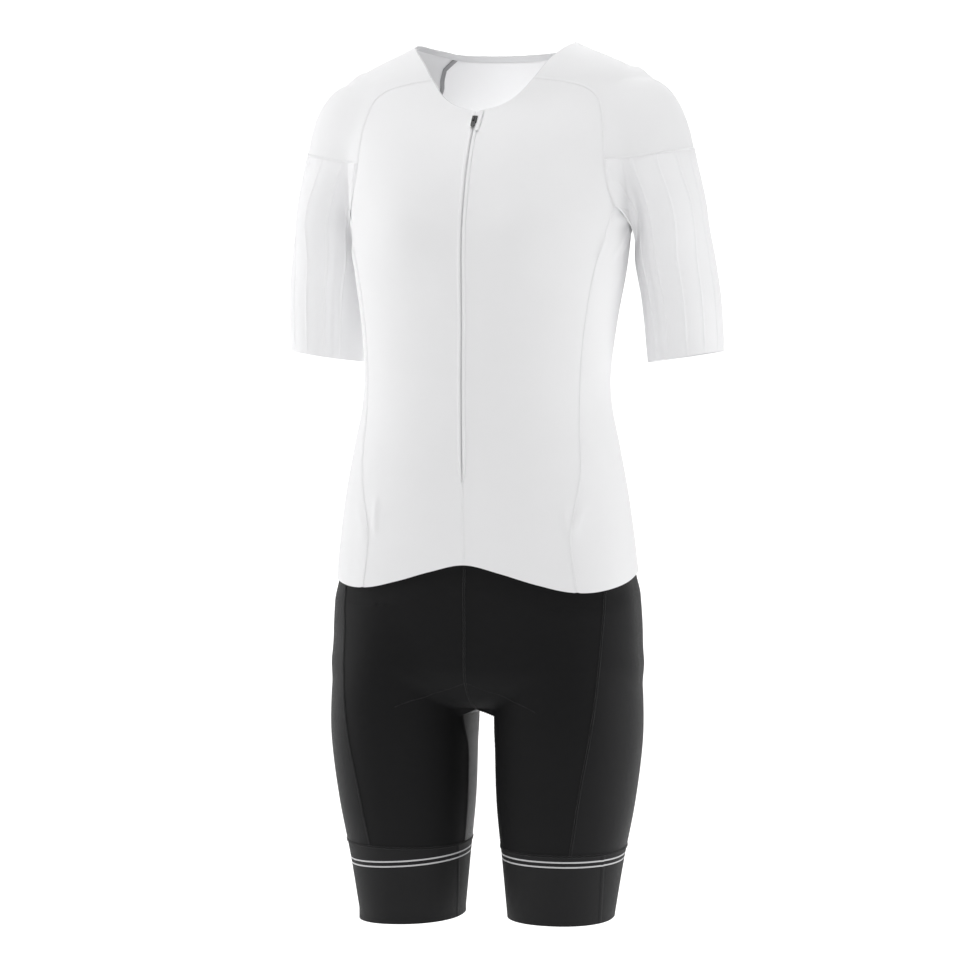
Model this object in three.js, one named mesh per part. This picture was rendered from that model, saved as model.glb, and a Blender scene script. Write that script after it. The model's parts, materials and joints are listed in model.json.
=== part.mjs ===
// A women's short-sleeved triathlon suit in its worn shape, with nobody in it.
// Millimetres, +Z up, the front faces -Y and the wearer's left is +X.
// The origin is the middle of the shoulder line.
// A general figure is described by a few tables of level sections. Every cloth piece is a wall
// that lies on that figure between seams, as the real pieces of cut cloth do.
import * as THREE from 'three';

// Cloth and seams
const TOP_WALL = 1.2;
const SHORTS_WALL = 1.4;
const BAND_WALL = 1.6;
const SEAM_GAP = 0.3;
const SHORTS_TUCK = 12;       // how far the shorts reach up under the hem of the top
const SHORTS_SINK = 2.7;      // how far they lie under the outer face of the top there
const SINK_FADE = 24;         // below the hem the shorts come out to the figure over this height

// Heights
const BUST_Z = -165;
const ZIP_TOP_Z = -41;
const ZIP_END_Z = -414;
const PELVIS_CLOSE_Z = -600;  // the trunk starts to round off here
const CROTCH_Z = -653;
const BAND_TOP_Z = -790;
const LEG_HEM_Z = -863;
const SLEEVE_HEM_OUTER_Z = -283;
const SLEEVE_HEM_INNER_Z = -295;
const ARMPIT_FRONT_Z = -138;
const ARMPIT_Z = -142;
const FRONT_ARMPIT_ROW_Z = -130;
const FRONT_RIB_ROW_Z = -95;
const BACK_ARMPIT_ROW_Z = -132;
const BACK_RIB_ROW_Z = -88;
const RIB_SEAM_FRONT_Z = -90;
const RIB_SEAM_OUTER_Z = -77;
const SHOULDER_CLOSE_Z = -64;
const SHOULDER_TOP_Z = -6;

// Softness of the figure where two forms meet
const SHOULDER_BLEND = 24;
const CROTCH_BLEND = 8;
const CROTCH_CORNER = 2.5;    // the inner thighs start this far under the crotch
const UNDER_STEEP = 3;        // how fast the trunk's field grows under the crotch

// Bust: two low, wide swells that the front panels are cut for
const BUST_SWELL = 6;
const BUST_X = 70;
const BUST_WIDE = 42;
const BUST_TALL = 50;

// Colours
const WHITE_CLOTH = 0xf1f1f2;
const RIB_CLOTH = 0xe9e9ea;
const GREY_BINDING = 0xb9b9bb;
const BLACK_CLOTH = 0x1c1c1e;
const BAND_CLOTH = 0x29292b;
const ZIP_GREY = 0xdcdcdd;
const ZIP_BLACK = 0x0d0d0e;

// A table of rows with named columns, sorted by its first column, read with a smooth curve.
class Table {
  constructor(columns, rows) {
    this.names = columns.split(' ');
    this.rows = [...rows].sort((a, b) => a[0] - b[0]);
  }

  at(key) {
    const rows = this.rows;
    const last = rows.length - 1;
    const place = Math.min(Math.max(key, rows[0][0]), rows[last][0]);
    let i = 0;
    while (i < last - 1 && rows[i + 1][0] < place) i += 1;
    const span = rows[i + 1][0] - rows[i][0];
    const t = (place - rows[i][0]) / span;
    const result = {};
    this.names.forEach((name, column) => {
      if (column > 0) result[name] = this.#curve(i, column, t, span);
    });
    return result;
  }

  #slope(i, column) {
    const rows = this.rows;
    const low = Math.max(i - 1, 0);
    const high = Math.min(i + 1, rows.length - 1);
    return (rows[high][column] - rows[low][column]) / (rows[high][0] - rows[low][0]);
  }

  #curve(i, column, t, span) {
    const a = this.rows[i][column];
    const b = this.rows[i + 1][column];
    const t2 = t * t;
    const t3 = t2 * t;
    return (2 * t3 - 3 * t2 + 1) * a + (3 * t2 - 2 * t3) * b
      + (t3 - 2 * t2 + t) * span * this.#slope(i, column)
      + (t3 - t2) * span * this.#slope(i + 1, column);
  }
}

// The general figure: half width, depth before and behind the middle, the middle's Y, roundness
const TRUNK = new Table('z half front back mid power', [
  [68, 60, 48, 46, -6, 2],
  [46, 69, 49, 44, -3, 2],
  [34.5, 83, 50, 44, 0, 2],
  [26, 101, 52, 47, 0, 2],
  [13, 131, 55, 53, 0, 2],
  [1, 153, 59, 60, 0, 2],
  [-13, 164, 63, 68, -1, 2],
  [-38, 167, 74, 80, -4, 2.1],
  [-70, 158, 90, 90, -10, 2.2],
  [-100, 151, 100, 96, -16, 2.2],
  [-133, 146, 105, 98, -22, 2.3],
  [-158, 145, 108, 98, -25, 2.3],
  [-200, 141, 107, 93, -28, 2.3],
  [-250, 133, 101, 86, -33, 2.3],
  [-305, 127.5, 96, 84, -39, 2.3],
  [-340, 129.5, 94, 86, -41, 2.3],
  [-375, 136.5, 92, 90, -42, 2.35],
  [-437, 148, 87, 100, -44, 2.4],
  [-498, 155.5, 82, 110, -45, 2.45],
  [-560, 160.5, 80, 116, -45, 2.5],
  [-600, 161, 80, 115, -45, 2.5],
  [-660, 161, 80, 112, -45, 2.5],
]);
const ARM = new Table('z x y halfX halfY', [
  [-6, 149, 0, 43, 42],
  [-40, 155, 0, 43, 43],
  [-66, 160, 1, 43.5, 45],
  [-100, 169, 2, 42, 51],
  [-128, 178.5, 4, 38.5, 54],
  [-150, 183.6, 5, 36.2, 53],
  [-165, 184.6, 7, 37.6, 51],
  [-190, 185.6, 10, 41, 47],
  [-230, 191, 15, 40.6, 43],
  [-290, 194.5, 22, 39.6, 40],
  [-350, 197, 28, 39, 39],
]);
const LEG = new Table('z x half front back', [
  [-560, 80, 74, 76, 104],
  [-600, 83, 76, 79, 102],
  [-640, 87.5, 75, 81, 94],
  [-684, 88, 74.5, 80, 88],
  [-746, 85, 70, 73, 80],
  [-807, 82, 61.5, 63, 71],
  [-862, 80, 54.5, 57, 64],
]);
const LEG_Y = -45;

// Edges, as height by angle round the trunk from the front, in degrees
const TOP_HEM = new Table('angle z', [
  [0, -497], [25, -505], [45, -516], [58, -523], [68, -523], [90, -511], [120, -503], [180, -498],
]);
const NECKLINE = new Table('angle z', [
  [0, -41], [19, -34], [32, -23], [43, -7], [51, 7], [61, 20], [72, 28.5], [90, 34],
  [112, 31], [127, 27], [150, 25.5], [180, 25],
]);
const FRONT_RAGLAN_ANGLE = 43.5;
const BACK_RAGLAN_ANGLE = 127;

// Seams, as distance from the middle plane by height
const SIDE_FRONT_SEAM = new Table('z x', [
  [-138, 139], [-165, 133], [-190, 127], [-247, 117], [-304, 112], [-357, 112.5], [-401, 115],
  [-434, 111], [-466, 106], [-498, 109], [-523, 113],
]);
const SIDE_BACK_SEAM = new Table('z x', [
  [-138, 128], [-190, 116], [-247, 106], [-304, 100], [-357, 102], [-434, 108], [-523, 113],
]);
const FRONT_ARMHOLE = new Table('z x', [[-138, 139], [-125, 135], [-108, 132], [-90, 130]]);
const BACK_ARMHOLE = new Table('z x', [[-138, 128], [-125, 126], [-108, 126], [-90, 128]]);
const FRONT_RAGLAN = new Table('t x z', [
  [0, 130, -90], [0.2, 128.5, -68], [0.4, 125, -45], [0.55, 118, -26], [0.7, 103, -15],
  [0.85, 78, -9],
]);
const BACK_RAGLAN = new Table('t x z', [
  [0, 128, -90], [0.25, 122, -62], [0.5, 108, -30], [0.75, 82, 3],
]);
const SHORTS_FRONT_SEAM = new Table('z x', [
  [-510, 140], [-560, 136], [-600, 134.5], [-643, 131], [-684, 125], [-725, 117], [-766, 110],
  [-787, 106],
]);
const SHORTS_BACK_SEAM = new Table('z x', [
  [-500, 128], [-560, 128], [-620, 128], [-684, 121], [-746, 111], [-787, 105],
]);
const INNER_FRONT_ANGLE = 152;
const INNER_BACK_ANGLE = 214;

// Divisions of the walls
const BELOW_ZIP_ROWS = 3;
const ZIP_ROWS = 8;
const HEM_TO_ARMPIT_ROWS = BELOW_ZIP_ROWS + 1 + ZIP_ROWS;
const ARMHOLE_ROWS = 4;
const RAGLAN_ROWS = 7;
const FRONT_COLUMNS = 8;
const BACK_COLUMNS = 14;
const SIDE_COLUMNS = 7;
const SHOULDER_COLUMNS = 12;
const SLEEVE_ROWS = 7;
const RIBS = 9;
const RIB_HEIGHT = 0.5;
const RIB_FOOT = 0.06;        // half width of a rib as a share of the pitch
const PELVIS_ROWS = 8;
const THIGH_ROWS = 7;
const SHORTS_FRONT_COLUMNS = 8;
const SHORTS_SIDE_COLUMNS = 7;
const SHORTS_BACK_COLUMNS = 10;
const INNER_COLUMNS = 5;
const BAND_COLUMNS = 30;
const BAND_ROWS = 3;
const MIDDLE_COLUMN = 11;      // the first column of a front panel is this wide, under the zip strips

// Zip
const ZIP_HALF_GAP = 1.6;     // each front panel stops this far from the middle
const ZIP_TAPER = 14;
const TAPE_WIDTH = 9;
const TAPE_WALL = 1;
const WELT_INNER = 1.3;
const WELT_OUTER = 4.6;
const WELT_WALL = 1;
const SLIDER_Z = -51;

const RAD = Math.PI / 180;
const lerp = (a, b, t) => a + (b - a) * t;
const clamp01 = (t) => Math.min(1, Math.max(0, t));

function ease(t) {
  const s = clamp01(t);
  return s * s * (3 - 2 * s);
}

function softMin(a, b, blend) {
  const h = Math.max(blend - Math.abs(a - b), 0) / blend;
  return Math.min(a, b) - h * h * blend / 4;
}

// How far a point is outside one level section, about in millimetres, negative inside.
function sectionField(across, along, halfWidth, depth, power) {
  const r = (Math.abs(across / halfWidth) ** power + Math.abs(along / depth) ** power) ** (1 / power);
  return (r - 1) * Math.min(halfWidth, depth);
}

function trunkField(p) {
  const s = TRUNK.at(p.z);
  const fall = clamp01((PELVIS_CLOSE_Z - p.z) / (PELVIS_CLOSE_Z - CROTCH_Z));
  const round = Math.sqrt(Math.max(1 - fall * fall, 0.003));
  const below = Math.max(0, CROTCH_Z - p.z) * UNDER_STEEP;
  const y = p.y - s.mid;
  const swell = BUST_SWELL * Math.exp(-(((Math.abs(p.x) - BUST_X) / BUST_WIDE) ** 2)
    - ((p.z - BUST_Z) / BUST_TALL) ** 2);
  const depth = (y < 0 ? s.front + swell : s.back) * round;
  return sectionField(p.x, y, s.half * Math.sqrt(round), depth, s.power) + below;
}

function armField(p) {
  const s = ARM.at(p.z);
  const rise = clamp01((p.z - SHOULDER_CLOSE_Z) / (SHOULDER_TOP_Z - SHOULDER_CLOSE_Z));
  const round = Math.sqrt(Math.max(1 - rise * rise, 0.003));
  const above = Math.max(0, p.z - SHOULDER_TOP_Z);
  return sectionField(Math.abs(p.x) - s.x, p.y - s.y, s.halfX * round, s.halfY * round, 2) + above;
}

function legField(p) {
  const s = LEG.at(p.z);
  const y = p.y - LEG_Y;
  const above = Math.max(0, p.z - PELVIS_CLOSE_Z) * 0.6;
  return sectionField(Math.abs(p.x) - s.x, y, s.half, y < 0 ? s.front : s.back, 2.15) + above;
}

// The whole figure, with soft joins. The arms count only near the shoulders.
function figureField(p) {
  const trunk = trunkField(p);
  if (p.z < PELVIS_CLOSE_Z + 60) return softMin(trunk, legField(p), CROTCH_BLEND);
  if (p.z < SLEEVE_HEM_INNER_Z) return trunk;
  return softMin(trunk, armField(p), SHOULDER_BLEND);
}

// The torso under the top: the figure above the armpits, the trunk alone below them.
function torsoField(p) {
  if (p.z < PELVIS_CLOSE_Z + 60) return figureField(p);
  const alone = ease((-108 - p.z) / 28);
  return lerp(figureField(p), trunkField(p), alone);
}

function gradient(field, p) {
  const step = 0.4;
  const q = p.clone();
  const slope = new THREE.Vector3();
  for (const axis of ['x', 'y', 'z']) {
    q.copy(p);
    q[axis] += step;
    const high = field(q);
    q[axis] -= 2 * step;
    slope[axis] = high - field(q);
  }
  return slope.normalize();
}

// The point where a straight line from inside the figure leaves it.
function cast(field, from, direction) {
  const STEP = 5;
  const REACH = 330;
  const p = new THREE.Vector3();
  const value = (r) => field(p.copy(from).addScaledVector(direction, r));
  if (value(0) > 0) throw new Error(`starts outside at ${from.toArray().map(Math.round)}`);
  let near = 0;
  let far = STEP;
  while (far < REACH && value(far) < 0) {
    near = far;
    far += STEP;
  }
  for (let i = 0; i < 22; i += 1) {
    const middle = (near + far) / 2;
    if (value(middle) < 0) near = middle;
    else far = middle;
  }
  return from.clone().addScaledVector(direction, (near + far) / 2);
}

// Points on the torso by angle round the trunk, from the front to the wearer's left to the back
function torsoPoint(angle, z) {
  const from = new THREE.Vector3(0, TRUNK.at(z).mid, z);
  const direction = new THREE.Vector3(Math.sin(angle * RAD), -Math.cos(angle * RAD), 0);
  return cast(torsoField, from, direction);
}

function torsoAngle(p) {
  return Math.atan2(p.x, TRUNK.at(p.z).mid - p.y) / RAD;
}

function frontPoint(x, z) {
  return cast(torsoField, new THREE.Vector3(x, TRUNK.at(z).mid, z), new THREE.Vector3(0, -1, 0));
}

function backPoint(x, z) {
  return cast(torsoField, new THREE.Vector3(x, TRUNK.at(z).mid, z), new THREE.Vector3(0, 1, 0));
}

// Points on the shorts by angle round a leg's own line: 0 outward, 90 to the front, 180 inward
function legPoint(angle, z) {
  const from = new THREE.Vector3(LEG.at(z).x, LEG_Y, z);
  const direction = new THREE.Vector3(Math.cos(angle * RAD), -Math.sin(angle * RAD), 0);
  return cast(figureField, from, direction);
}

function legAngle(p) {
  const angle = Math.atan2(LEG_Y - p.y, p.x - LEG.at(p.z).x) / RAD;
  return angle < -120 ? angle + 360 : angle;
}

// The same angle as a full turn, for a piece that runs round the back
function backLegAngle(p) {
  const angle = legAngle(p);
  return angle < 90 ? angle + 360 : angle;
}

const steps = (count) => Array.from({ length: count + 1 }, (unused, i) => i / count);

// Seams of the wearer's left half, each a list of points from its lower end to its upper end

function neckPoint(angle) {
  return torsoPoint(angle, NECKLINE.at(angle).z);
}

function heightSeam(table, pointAt, rows, low, high) {
  return steps(rows).map((t) => {
    const z = lerp(low, high, t);
    return pointAt(table.at(z).x, z);
  });
}

function raglanSeam(table, pointAt, end) {
  const knots = steps(RAGLAN_ROWS).slice(0, -1).map((t) => {
    const last = table.rows[table.rows.length - 1][0];
    if (t <= last) return pointAt(table.at(t).x, table.at(t).z);
    const start = table.at(last);
    const share = (t - last) / (1 - last);
    const z = lerp(start.z, end.z, share);
    return pointAt(lerp(start.x, end.x, share), z);
  });
  return [...knots, end];
}

const HEM_SIDE_FRONT_Z = -523;
const SEAMS = {
  sideFront: heightSeam(SIDE_FRONT_SEAM, frontPoint, HEM_TO_ARMPIT_ROWS, HEM_SIDE_FRONT_Z,
    ARMPIT_FRONT_Z),
  frontArmhole: heightSeam(FRONT_ARMHOLE, frontPoint, ARMHOLE_ROWS, ARMPIT_FRONT_Z,
    RIB_SEAM_FRONT_Z),
  frontRaglan: raglanSeam(FRONT_RAGLAN, frontPoint, neckPoint(FRONT_RAGLAN_ANGLE)),
  backArmhole: heightSeam(BACK_ARMHOLE, backPoint, ARMHOLE_ROWS, ARMPIT_FRONT_Z,
    RIB_SEAM_FRONT_Z),
  backRaglan: raglanSeam(BACK_RAGLAN, backPoint, neckPoint(BACK_RAGLAN_ANGLE)),
};
const HEM_SIDE_BACK_Z = TOP_HEM.at(torsoAngle(backPoint(113, -505))).z;
SEAMS.sideBack = heightSeam(SIDE_BACK_SEAM, backPoint, HEM_TO_ARMPIT_ROWS, HEM_SIDE_BACK_Z,
  ARMPIT_FRONT_Z);

// Walls

const mirrorPoint = (p) => new THREE.Vector3(-p.x, p.y, p.z);

// Unit vectors square to a grid of points, from its neighbours.
function gridNormals(grid, closed) {
  const rows = grid.length;
  const columns = grid[0].length;
  const across = (i, j) => {
    const before = closed ? (j + columns - 1) % columns : Math.max(j - 1, 0);
    const after = closed ? (j + 1) % columns : Math.min(j + 1, columns - 1);
    return grid[i][after].clone().sub(grid[i][before]);
  };
  const along = (i, j) => {
    const low = Math.max(i - 1, 0);
    const high = Math.min(i + 1, rows - 1);
    return grid[high][j].clone().sub(grid[low][j]);
  };
  return grid.map((row, i) => row.map((p, j) => across(i, j).cross(along(i, j)).normalize()));
}

// Draws a boundary point in from its seam, square to the seam, by half the gap between pieces.
function drawIn(grid, i, j, inner, before, after, distance) {
  const seam = after.clone().sub(before).normalize();
  const inward = inner.clone().sub(grid[i][j]);
  inward.addScaledVector(seam, -inward.dot(seam)).normalize();
  return inward.multiplyScalar(distance);
}

function insetGrid(grid, closed, distance = SEAM_GAP / 2) {
  const rows = grid.length;
  const columns = grid[0].length;
  const moves = grid.map((row) => row.map(() => new THREE.Vector3()));
  for (const i of [0, rows - 1]) {
    const next = i === 0 ? 1 : rows - 2;
    for (let j = 0; j < columns; j += 1) {
      const before = closed ? (j + columns - 1) % columns : Math.max(j - 1, 0);
      const after = closed ? (j + 1) % columns : Math.min(j + 1, columns - 1);
      moves[i][j].add(drawIn(grid, i, j, grid[next][j], grid[i][before], grid[i][after], distance));
    }
  }
  if (!closed) {
    for (const j of [0, columns - 1]) {
      const next = j === 0 ? 1 : columns - 2;
      for (let i = 0; i < rows; i += 1) {
        const low = grid[Math.max(i - 1, 0)][j];
        const high = grid[Math.min(i + 1, rows - 1)][j];
        moves[i][j].add(drawIn(grid, i, j, grid[i][next], low, high, distance));
      }
    }
  }
  return grid.map((row, i) => row.map((p, j) => p.clone().add(moves[i][j])));
}

// A closed wall from a grid of outer points and the matching unit vectors.
function wallGeometry(outer, normals, thickness, closed = false, plain = outer) {
  const rows = outer.length;
  const columns = outer[0].length;
  const inner = plain.map((row, i) => row.map(
    (p, j) => p.clone().addScaledVector(normals[i][j], -thickness),
  ));
  const positions = [];
  for (const grid of [outer, inner]) {
    for (const row of grid) {
      for (const p of row) positions.push(p.x, p.y, p.z);
    }
  }
  const index = [];
  const outside = (i, j) => i * columns + (j % columns);
  const inside = (i, j) => rows * columns + outside(i, j);
  const quad = (a, b, c, d) => index.push(a, b, c, a, c, d);
  const lastColumn = closed ? columns : columns - 1;
  for (let i = 0; i < rows - 1; i += 1) {
    for (let j = 0; j < lastColumn; j += 1) {
      quad(outside(i, j), outside(i, j + 1), outside(i + 1, j + 1), outside(i + 1, j));
      quad(inside(i, j), inside(i + 1, j), inside(i + 1, j + 1), inside(i, j + 1));
    }
  }
  for (let j = 0; j < lastColumn; j += 1) {
    quad(outside(0, j), inside(0, j), inside(0, j + 1), outside(0, j + 1));
    quad(outside(rows - 1, j), outside(rows - 1, j + 1), inside(rows - 1, j + 1), inside(rows - 1, j));
  }
  if (!closed) {
    for (let i = 0; i < rows - 1; i += 1) {
      quad(outside(i, 0), outside(i + 1, 0), inside(i + 1, 0), inside(i, 0));
      quad(outside(i, columns - 1), inside(i, columns - 1), inside(i + 1, columns - 1),
        outside(i + 1, columns - 1));
    }
  }
  const geometry = new THREE.BufferGeometry();
  geometry.setAttribute('position', new THREE.Float32BufferAttribute(positions, 3));
  geometry.setIndex(signedVolume(positions, index) < 0 ? turned(index) : index);
  geometry.computeVertexNormals();
  return geometry;
}

function signedVolume(positions, index) {
  const at = (i) => new THREE.Vector3().fromArray(positions, index[i] * 3);
  let sum = 0;
  for (let i = 0; i < index.length; i += 3) sum += at(i).dot(at(i + 1).cross(at(i + 2)));
  return sum / 6;
}

function turned(index) {
  const result = [];
  for (let i = 0; i < index.length; i += 3) result.push(index[i], index[i + 2], index[i + 1]);
  return result;
}

// A wall on the figure: its unit vectors come from the figure's own field.
function figureWall(grid, field, thickness, lift = () => 0) {
  const cut = insetGrid(grid, false);
  const normals = cut.map((row) => row.map((p) => gradient(field, p)));
  const outer = cut.map((row, i) => row.map((p, j) => p.clone().addScaledVector(normals[i][j], lift(p))));
  return wallGeometry(outer, normals, thickness);
}

const mirrorGrid = (grid) => grid.map((row) => row.map(mirrorPoint));

// Top

function edgeMiddle(z) {
  const share = clamp01((z - ZIP_END_Z) / ZIP_TAPER);
  return lerp(0, ZIP_HALF_GAP, share);
}

// Fills a torso panel between two upright seams, with shaped lower and upper edges.
function torsoGrid(first, last, shares, hemZ, topZ) {
  const rows = first.length - 1;
  const columns = shares.length - 1;
  const angles = [first.map(torsoAngle), last.map(torsoAngle)];
  return first.map((start, i) => shares.map((u, j) => {
    if (j === 0) return start.clone();
    if (j === columns) return last[i].clone();
    const v = i / rows;
    const angle = lerp(angles[0][i], angles[1][i], u);
    const straightHem = lerp(first[0].z, last[0].z, u);
    const straightTop = lerp(first[rows].z, last[rows].z, u);
    const hemAngle = lerp(angles[0][0], angles[1][0], u);
    const topAngle = lerp(angles[0][rows], angles[1][rows], u);
    const bow = (1 - v) * (hemZ(hemAngle) - straightHem) + v * (topZ(topAngle, u) - straightTop);
    const z = lerp(start.z, last[i].z, u) + bow;
    return torsoPoint(angle, z);
  }));
}

const hemHeight = (angle) => TOP_HEM.at(Math.abs(angle)).z;
const neckHeight = (angle) => NECKLINE.at(Math.abs(angle)).z;

// Heights of the rows on the middle line, with one row at each end of the zip's taper
function middleHeights(hemZ, armpitZ, ribZ, topZ) {
  const below = steps(BELOW_ZIP_ROWS).map((t) => lerp(hemZ, ZIP_END_Z, t));
  const beside = steps(ZIP_ROWS).map((t) => lerp(ZIP_END_Z + ZIP_TAPER, armpitZ, t));
  const chest = steps(ARMHOLE_ROWS).slice(1).map((t) => lerp(armpitZ, ribZ, t));
  const neck = steps(RAGLAN_ROWS).slice(1).map((t) => lerp(ribZ, topZ, t));
  return [...below, ...beside, ...chest, ...neck];
}

function joinSeams(...parts) {
  return parts.flatMap((part, i) => (i === 0 ? part : part.slice(1)));
}

const FRONT_EDGE = joinSeams(SEAMS.sideFront, SEAMS.frontArmhole, SEAMS.frontRaglan);
const BACK_EDGE = joinSeams(SEAMS.sideBack, SEAMS.backArmhole, SEAMS.backRaglan);

const MIDDLE_HEIGHTS = middleHeights(TOP_HEM.at(0).z, FRONT_ARMPIT_ROW_Z, FRONT_RIB_ROW_Z,
  NECKLINE.at(0).z);

function frontPanelGrid() {
  const middle = MIDDLE_HEIGHTS.map((z) => frontPoint(edgeMiddle(z), z));
  const first = MIDDLE_COLUMN / FRONT_EDGE[0].x;
  const shares = [0, ...steps(FRONT_COLUMNS - 1).map((t) => lerp(first, 1, t))];
  return torsoGrid(middle, FRONT_EDGE, shares, hemHeight, neckHeight);
}

function backPanelGrid() {
  const heights = middleHeights(TOP_HEM.at(180).z, BACK_ARMPIT_ROW_Z, BACK_RIB_ROW_Z,
    NECKLINE.at(180).z);
  const middle = heights.map((z) => backPoint(0, z));
  const half = torsoGrid(middle, BACK_EDGE, steps(BACK_COLUMNS / 2), hemHeight, neckHeight);
  return half.map((row) => [...row.slice(1).reverse().map(mirrorPoint), ...row]);
}

function underarmDip(u) {
  return lerp(ARMPIT_FRONT_Z, ARMPIT_Z, Math.sin(u * Math.PI));
}

function sidePanelGrid() {
  return torsoGrid(SEAMS.sideFront, SEAMS.sideBack, steps(SIDE_COLUMNS), hemHeight,
    (angle, u) => underarmDip(u));
}

const SIDE_GRID = sidePanelGrid();

// Points round the arm: 0 outward, 90 to the front, 180 inward
function armPoint(field, angle, z) {
  const s = ARM.at(z);
  const direction = new THREE.Vector3(Math.cos(angle * RAD), -Math.sin(angle * RAD), 0);
  return cast(field, new THREE.Vector3(s.x, s.y, z), direction);
}

function armAngle(p) {
  const s = ARM.at(p.z);
  return Math.atan2(s.y - p.y, p.x - s.x) / RAD;
}

const RIB_FRONT_ANGLE = armAngle(SEAMS.frontArmhole[ARMHOLE_ROWS]);
const RIB_BACK_ANGLE = armAngle(SEAMS.backArmhole[ARMHOLE_ROWS]);

function ribSeamPoint(u) {
  const angle = lerp(RIB_FRONT_ANGLE, RIB_BACK_ANGLE, u);
  const z = lerp(RIB_SEAM_FRONT_Z, RIB_SEAM_OUTER_Z, Math.sin(u * Math.PI));
  return armPoint(figureField, angle, z);
}

// The raglan cap: a patch between two raglan seams, the neck edge and the rib cloth's seam.
function shoulderGrid() {
  const neckMiddle = new THREE.Vector3(48, 0, -38);
  const armMiddle = new THREE.Vector3(158, 2, -100);
  const front = SEAMS.frontRaglan;
  const back = SEAMS.backRaglan;
  const rows = front.length - 1;
  const neckAt = (u) => neckPoint(lerp(FRONT_RAGLAN_ANGLE, BACK_RAGLAN_ANGLE, u));
  const corners = [front[0], back[0], front[rows], back[rows]];
  return front.map((start, i) => steps(SHOULDER_COLUMNS).map((u, j) => {
    if (j === 0) return start.clone();
    if (j === SHOULDER_COLUMNS) return back[i].clone();
    if (i === 0) return ribSeamPoint(u);
    if (i === rows) return neckAt(u);
    const t = i / rows;
    const guess = new THREE.Vector3()
      .addScaledVector(start, 1 - u)
      .addScaledVector(back[i], u)
      .addScaledVector(ribSeamPoint(u), 1 - t)
      .addScaledVector(neckAt(u), t)
      .addScaledVector(corners[0], -(1 - u) * (1 - t))
      .addScaledVector(corners[1], -u * (1 - t))
      .addScaledVector(corners[2], -(1 - u) * t)
      .addScaledVector(corners[3], -u * t);
    const from = armMiddle.clone().lerp(neckMiddle, t);
    return cast(figureField, from, guess.sub(from).normalize());
  }));
}

// The upper edge of the ribbed sleeve: the rib seam over the arm, then the armhole under it.
function sleeveTop(angle) {
  const front = SEAMS.frontArmhole;
  const back = SEAMS.backArmhole;
  if (angle <= RIB_FRONT_ANGLE && angle >= RIB_BACK_ANGLE) {
    return ribSeamPoint((angle - RIB_FRONT_ANGLE) / (RIB_BACK_ANGLE - RIB_FRONT_ANGLE));
  }
  const under = [...front].reverse();
  const side = SIDE_GRID[HEM_TO_ARMPIT_ROWS];
  const loop = [...under, ...side.slice(1), ...back.slice(1)];
  const turn = 360 + RIB_BACK_ANGLE - RIB_FRONT_ANGLE;
  const share = ((angle < RIB_BACK_ANGLE ? angle + 360 : angle) - RIB_FRONT_ANGLE) / turn;
  const place = clamp01(share) * (loop.length - 1);
  const low = Math.min(Math.floor(place), loop.length - 2);
  return loop[low].clone().lerp(loop[low + 1], place - low);
}

function sleeveAngles() {
  const angles = [];
  const over = RIB_FRONT_ANGLE - RIB_BACK_ANGLE;
  const underCount = 2 * ARMHOLE_ROWS + SIDE_COLUMNS;
  for (let rib = 0; rib < RIBS; rib += 1) {
    for (const share of [0, 0.22, 0.5 - RIB_FOOT, 0.5, 0.5 + RIB_FOOT, 0.78]) {
      angles.push({ angle: RIB_FRONT_ANGLE - over * ((rib + share) / RIBS), rib: share === 0.5 });
    }
  }
  angles.push({ angle: RIB_BACK_ANGLE, rib: false });
  for (let i = 1; i < underCount; i += 1) {
    angles.push({ angle: RIB_BACK_ANGLE - (360 - over) * (i / underCount), rib: false });
  }
  return angles;
}

const SLEEVE_FLOW = 46;       // the sleeve leaves the armhole's form over this height
const SLEEVE_CLEAR = 2;       // it stays this far off the torso
const ARMHOLE_CLEAR = 1.6;    // the armhole's lower edge lies this far out from the side panel

// 0 at the rib seam, growing to 1 where the armhole runs under the arm
function underShare(angle) {
  const turned = angle < RIB_BACK_ANGLE ? angle + 360 : angle;
  if (turned <= RIB_FRONT_ANGLE) return 0;
  const turn = 360 + RIB_BACK_ANGLE - RIB_FRONT_ANGLE;
  const share = (turned - RIB_FRONT_ANGLE) / turn;
  const ramp = ARMHOLE_ROWS / (2 * ARMHOLE_ROWS + SIDE_COLUMNS);
  return clamp01(Math.min(share, 1 - share) / ramp);
}

function sleeveGrid() {
  const angles = sleeveAngles();
  const tops = angles.map(({ angle }) => {
    const top = sleeveTop(angle);
    return top.addScaledVector(gradient(trunkField, top), ARMHOLE_CLEAR * underShare(angle));
  });
  return steps(SLEEVE_ROWS).map((v) => angles.map(({ angle }, j) => {
    const top = tops[j];
    if (v === 0) return top.clone();
    const inward = (1 - Math.cos(angle * RAD)) / 2;
    const hem = lerp(SLEEVE_HEM_OUTER_Z, SLEEVE_HEM_INNER_Z, inward);
    const share = v ** 1.25;
    const z = lerp(top.z, hem, share);
    const base = armPoint(armField, angle, z);
    const start = armPoint(armField, angle, top.z);
    const fade = (1 - clamp01((top.z - z) / SLEEVE_FLOW)) ** 2;
    const p = base.addScaledVector(top.clone().sub(start), fade);
    for (let k = 0; k < 4; k += 1) {
      const depth = trunkField(p) - SLEEVE_CLEAR;
      if (depth < 0) p.addScaledVector(gradient(trunkField, p), -depth);
    }
    return p;
  }));
}

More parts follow.
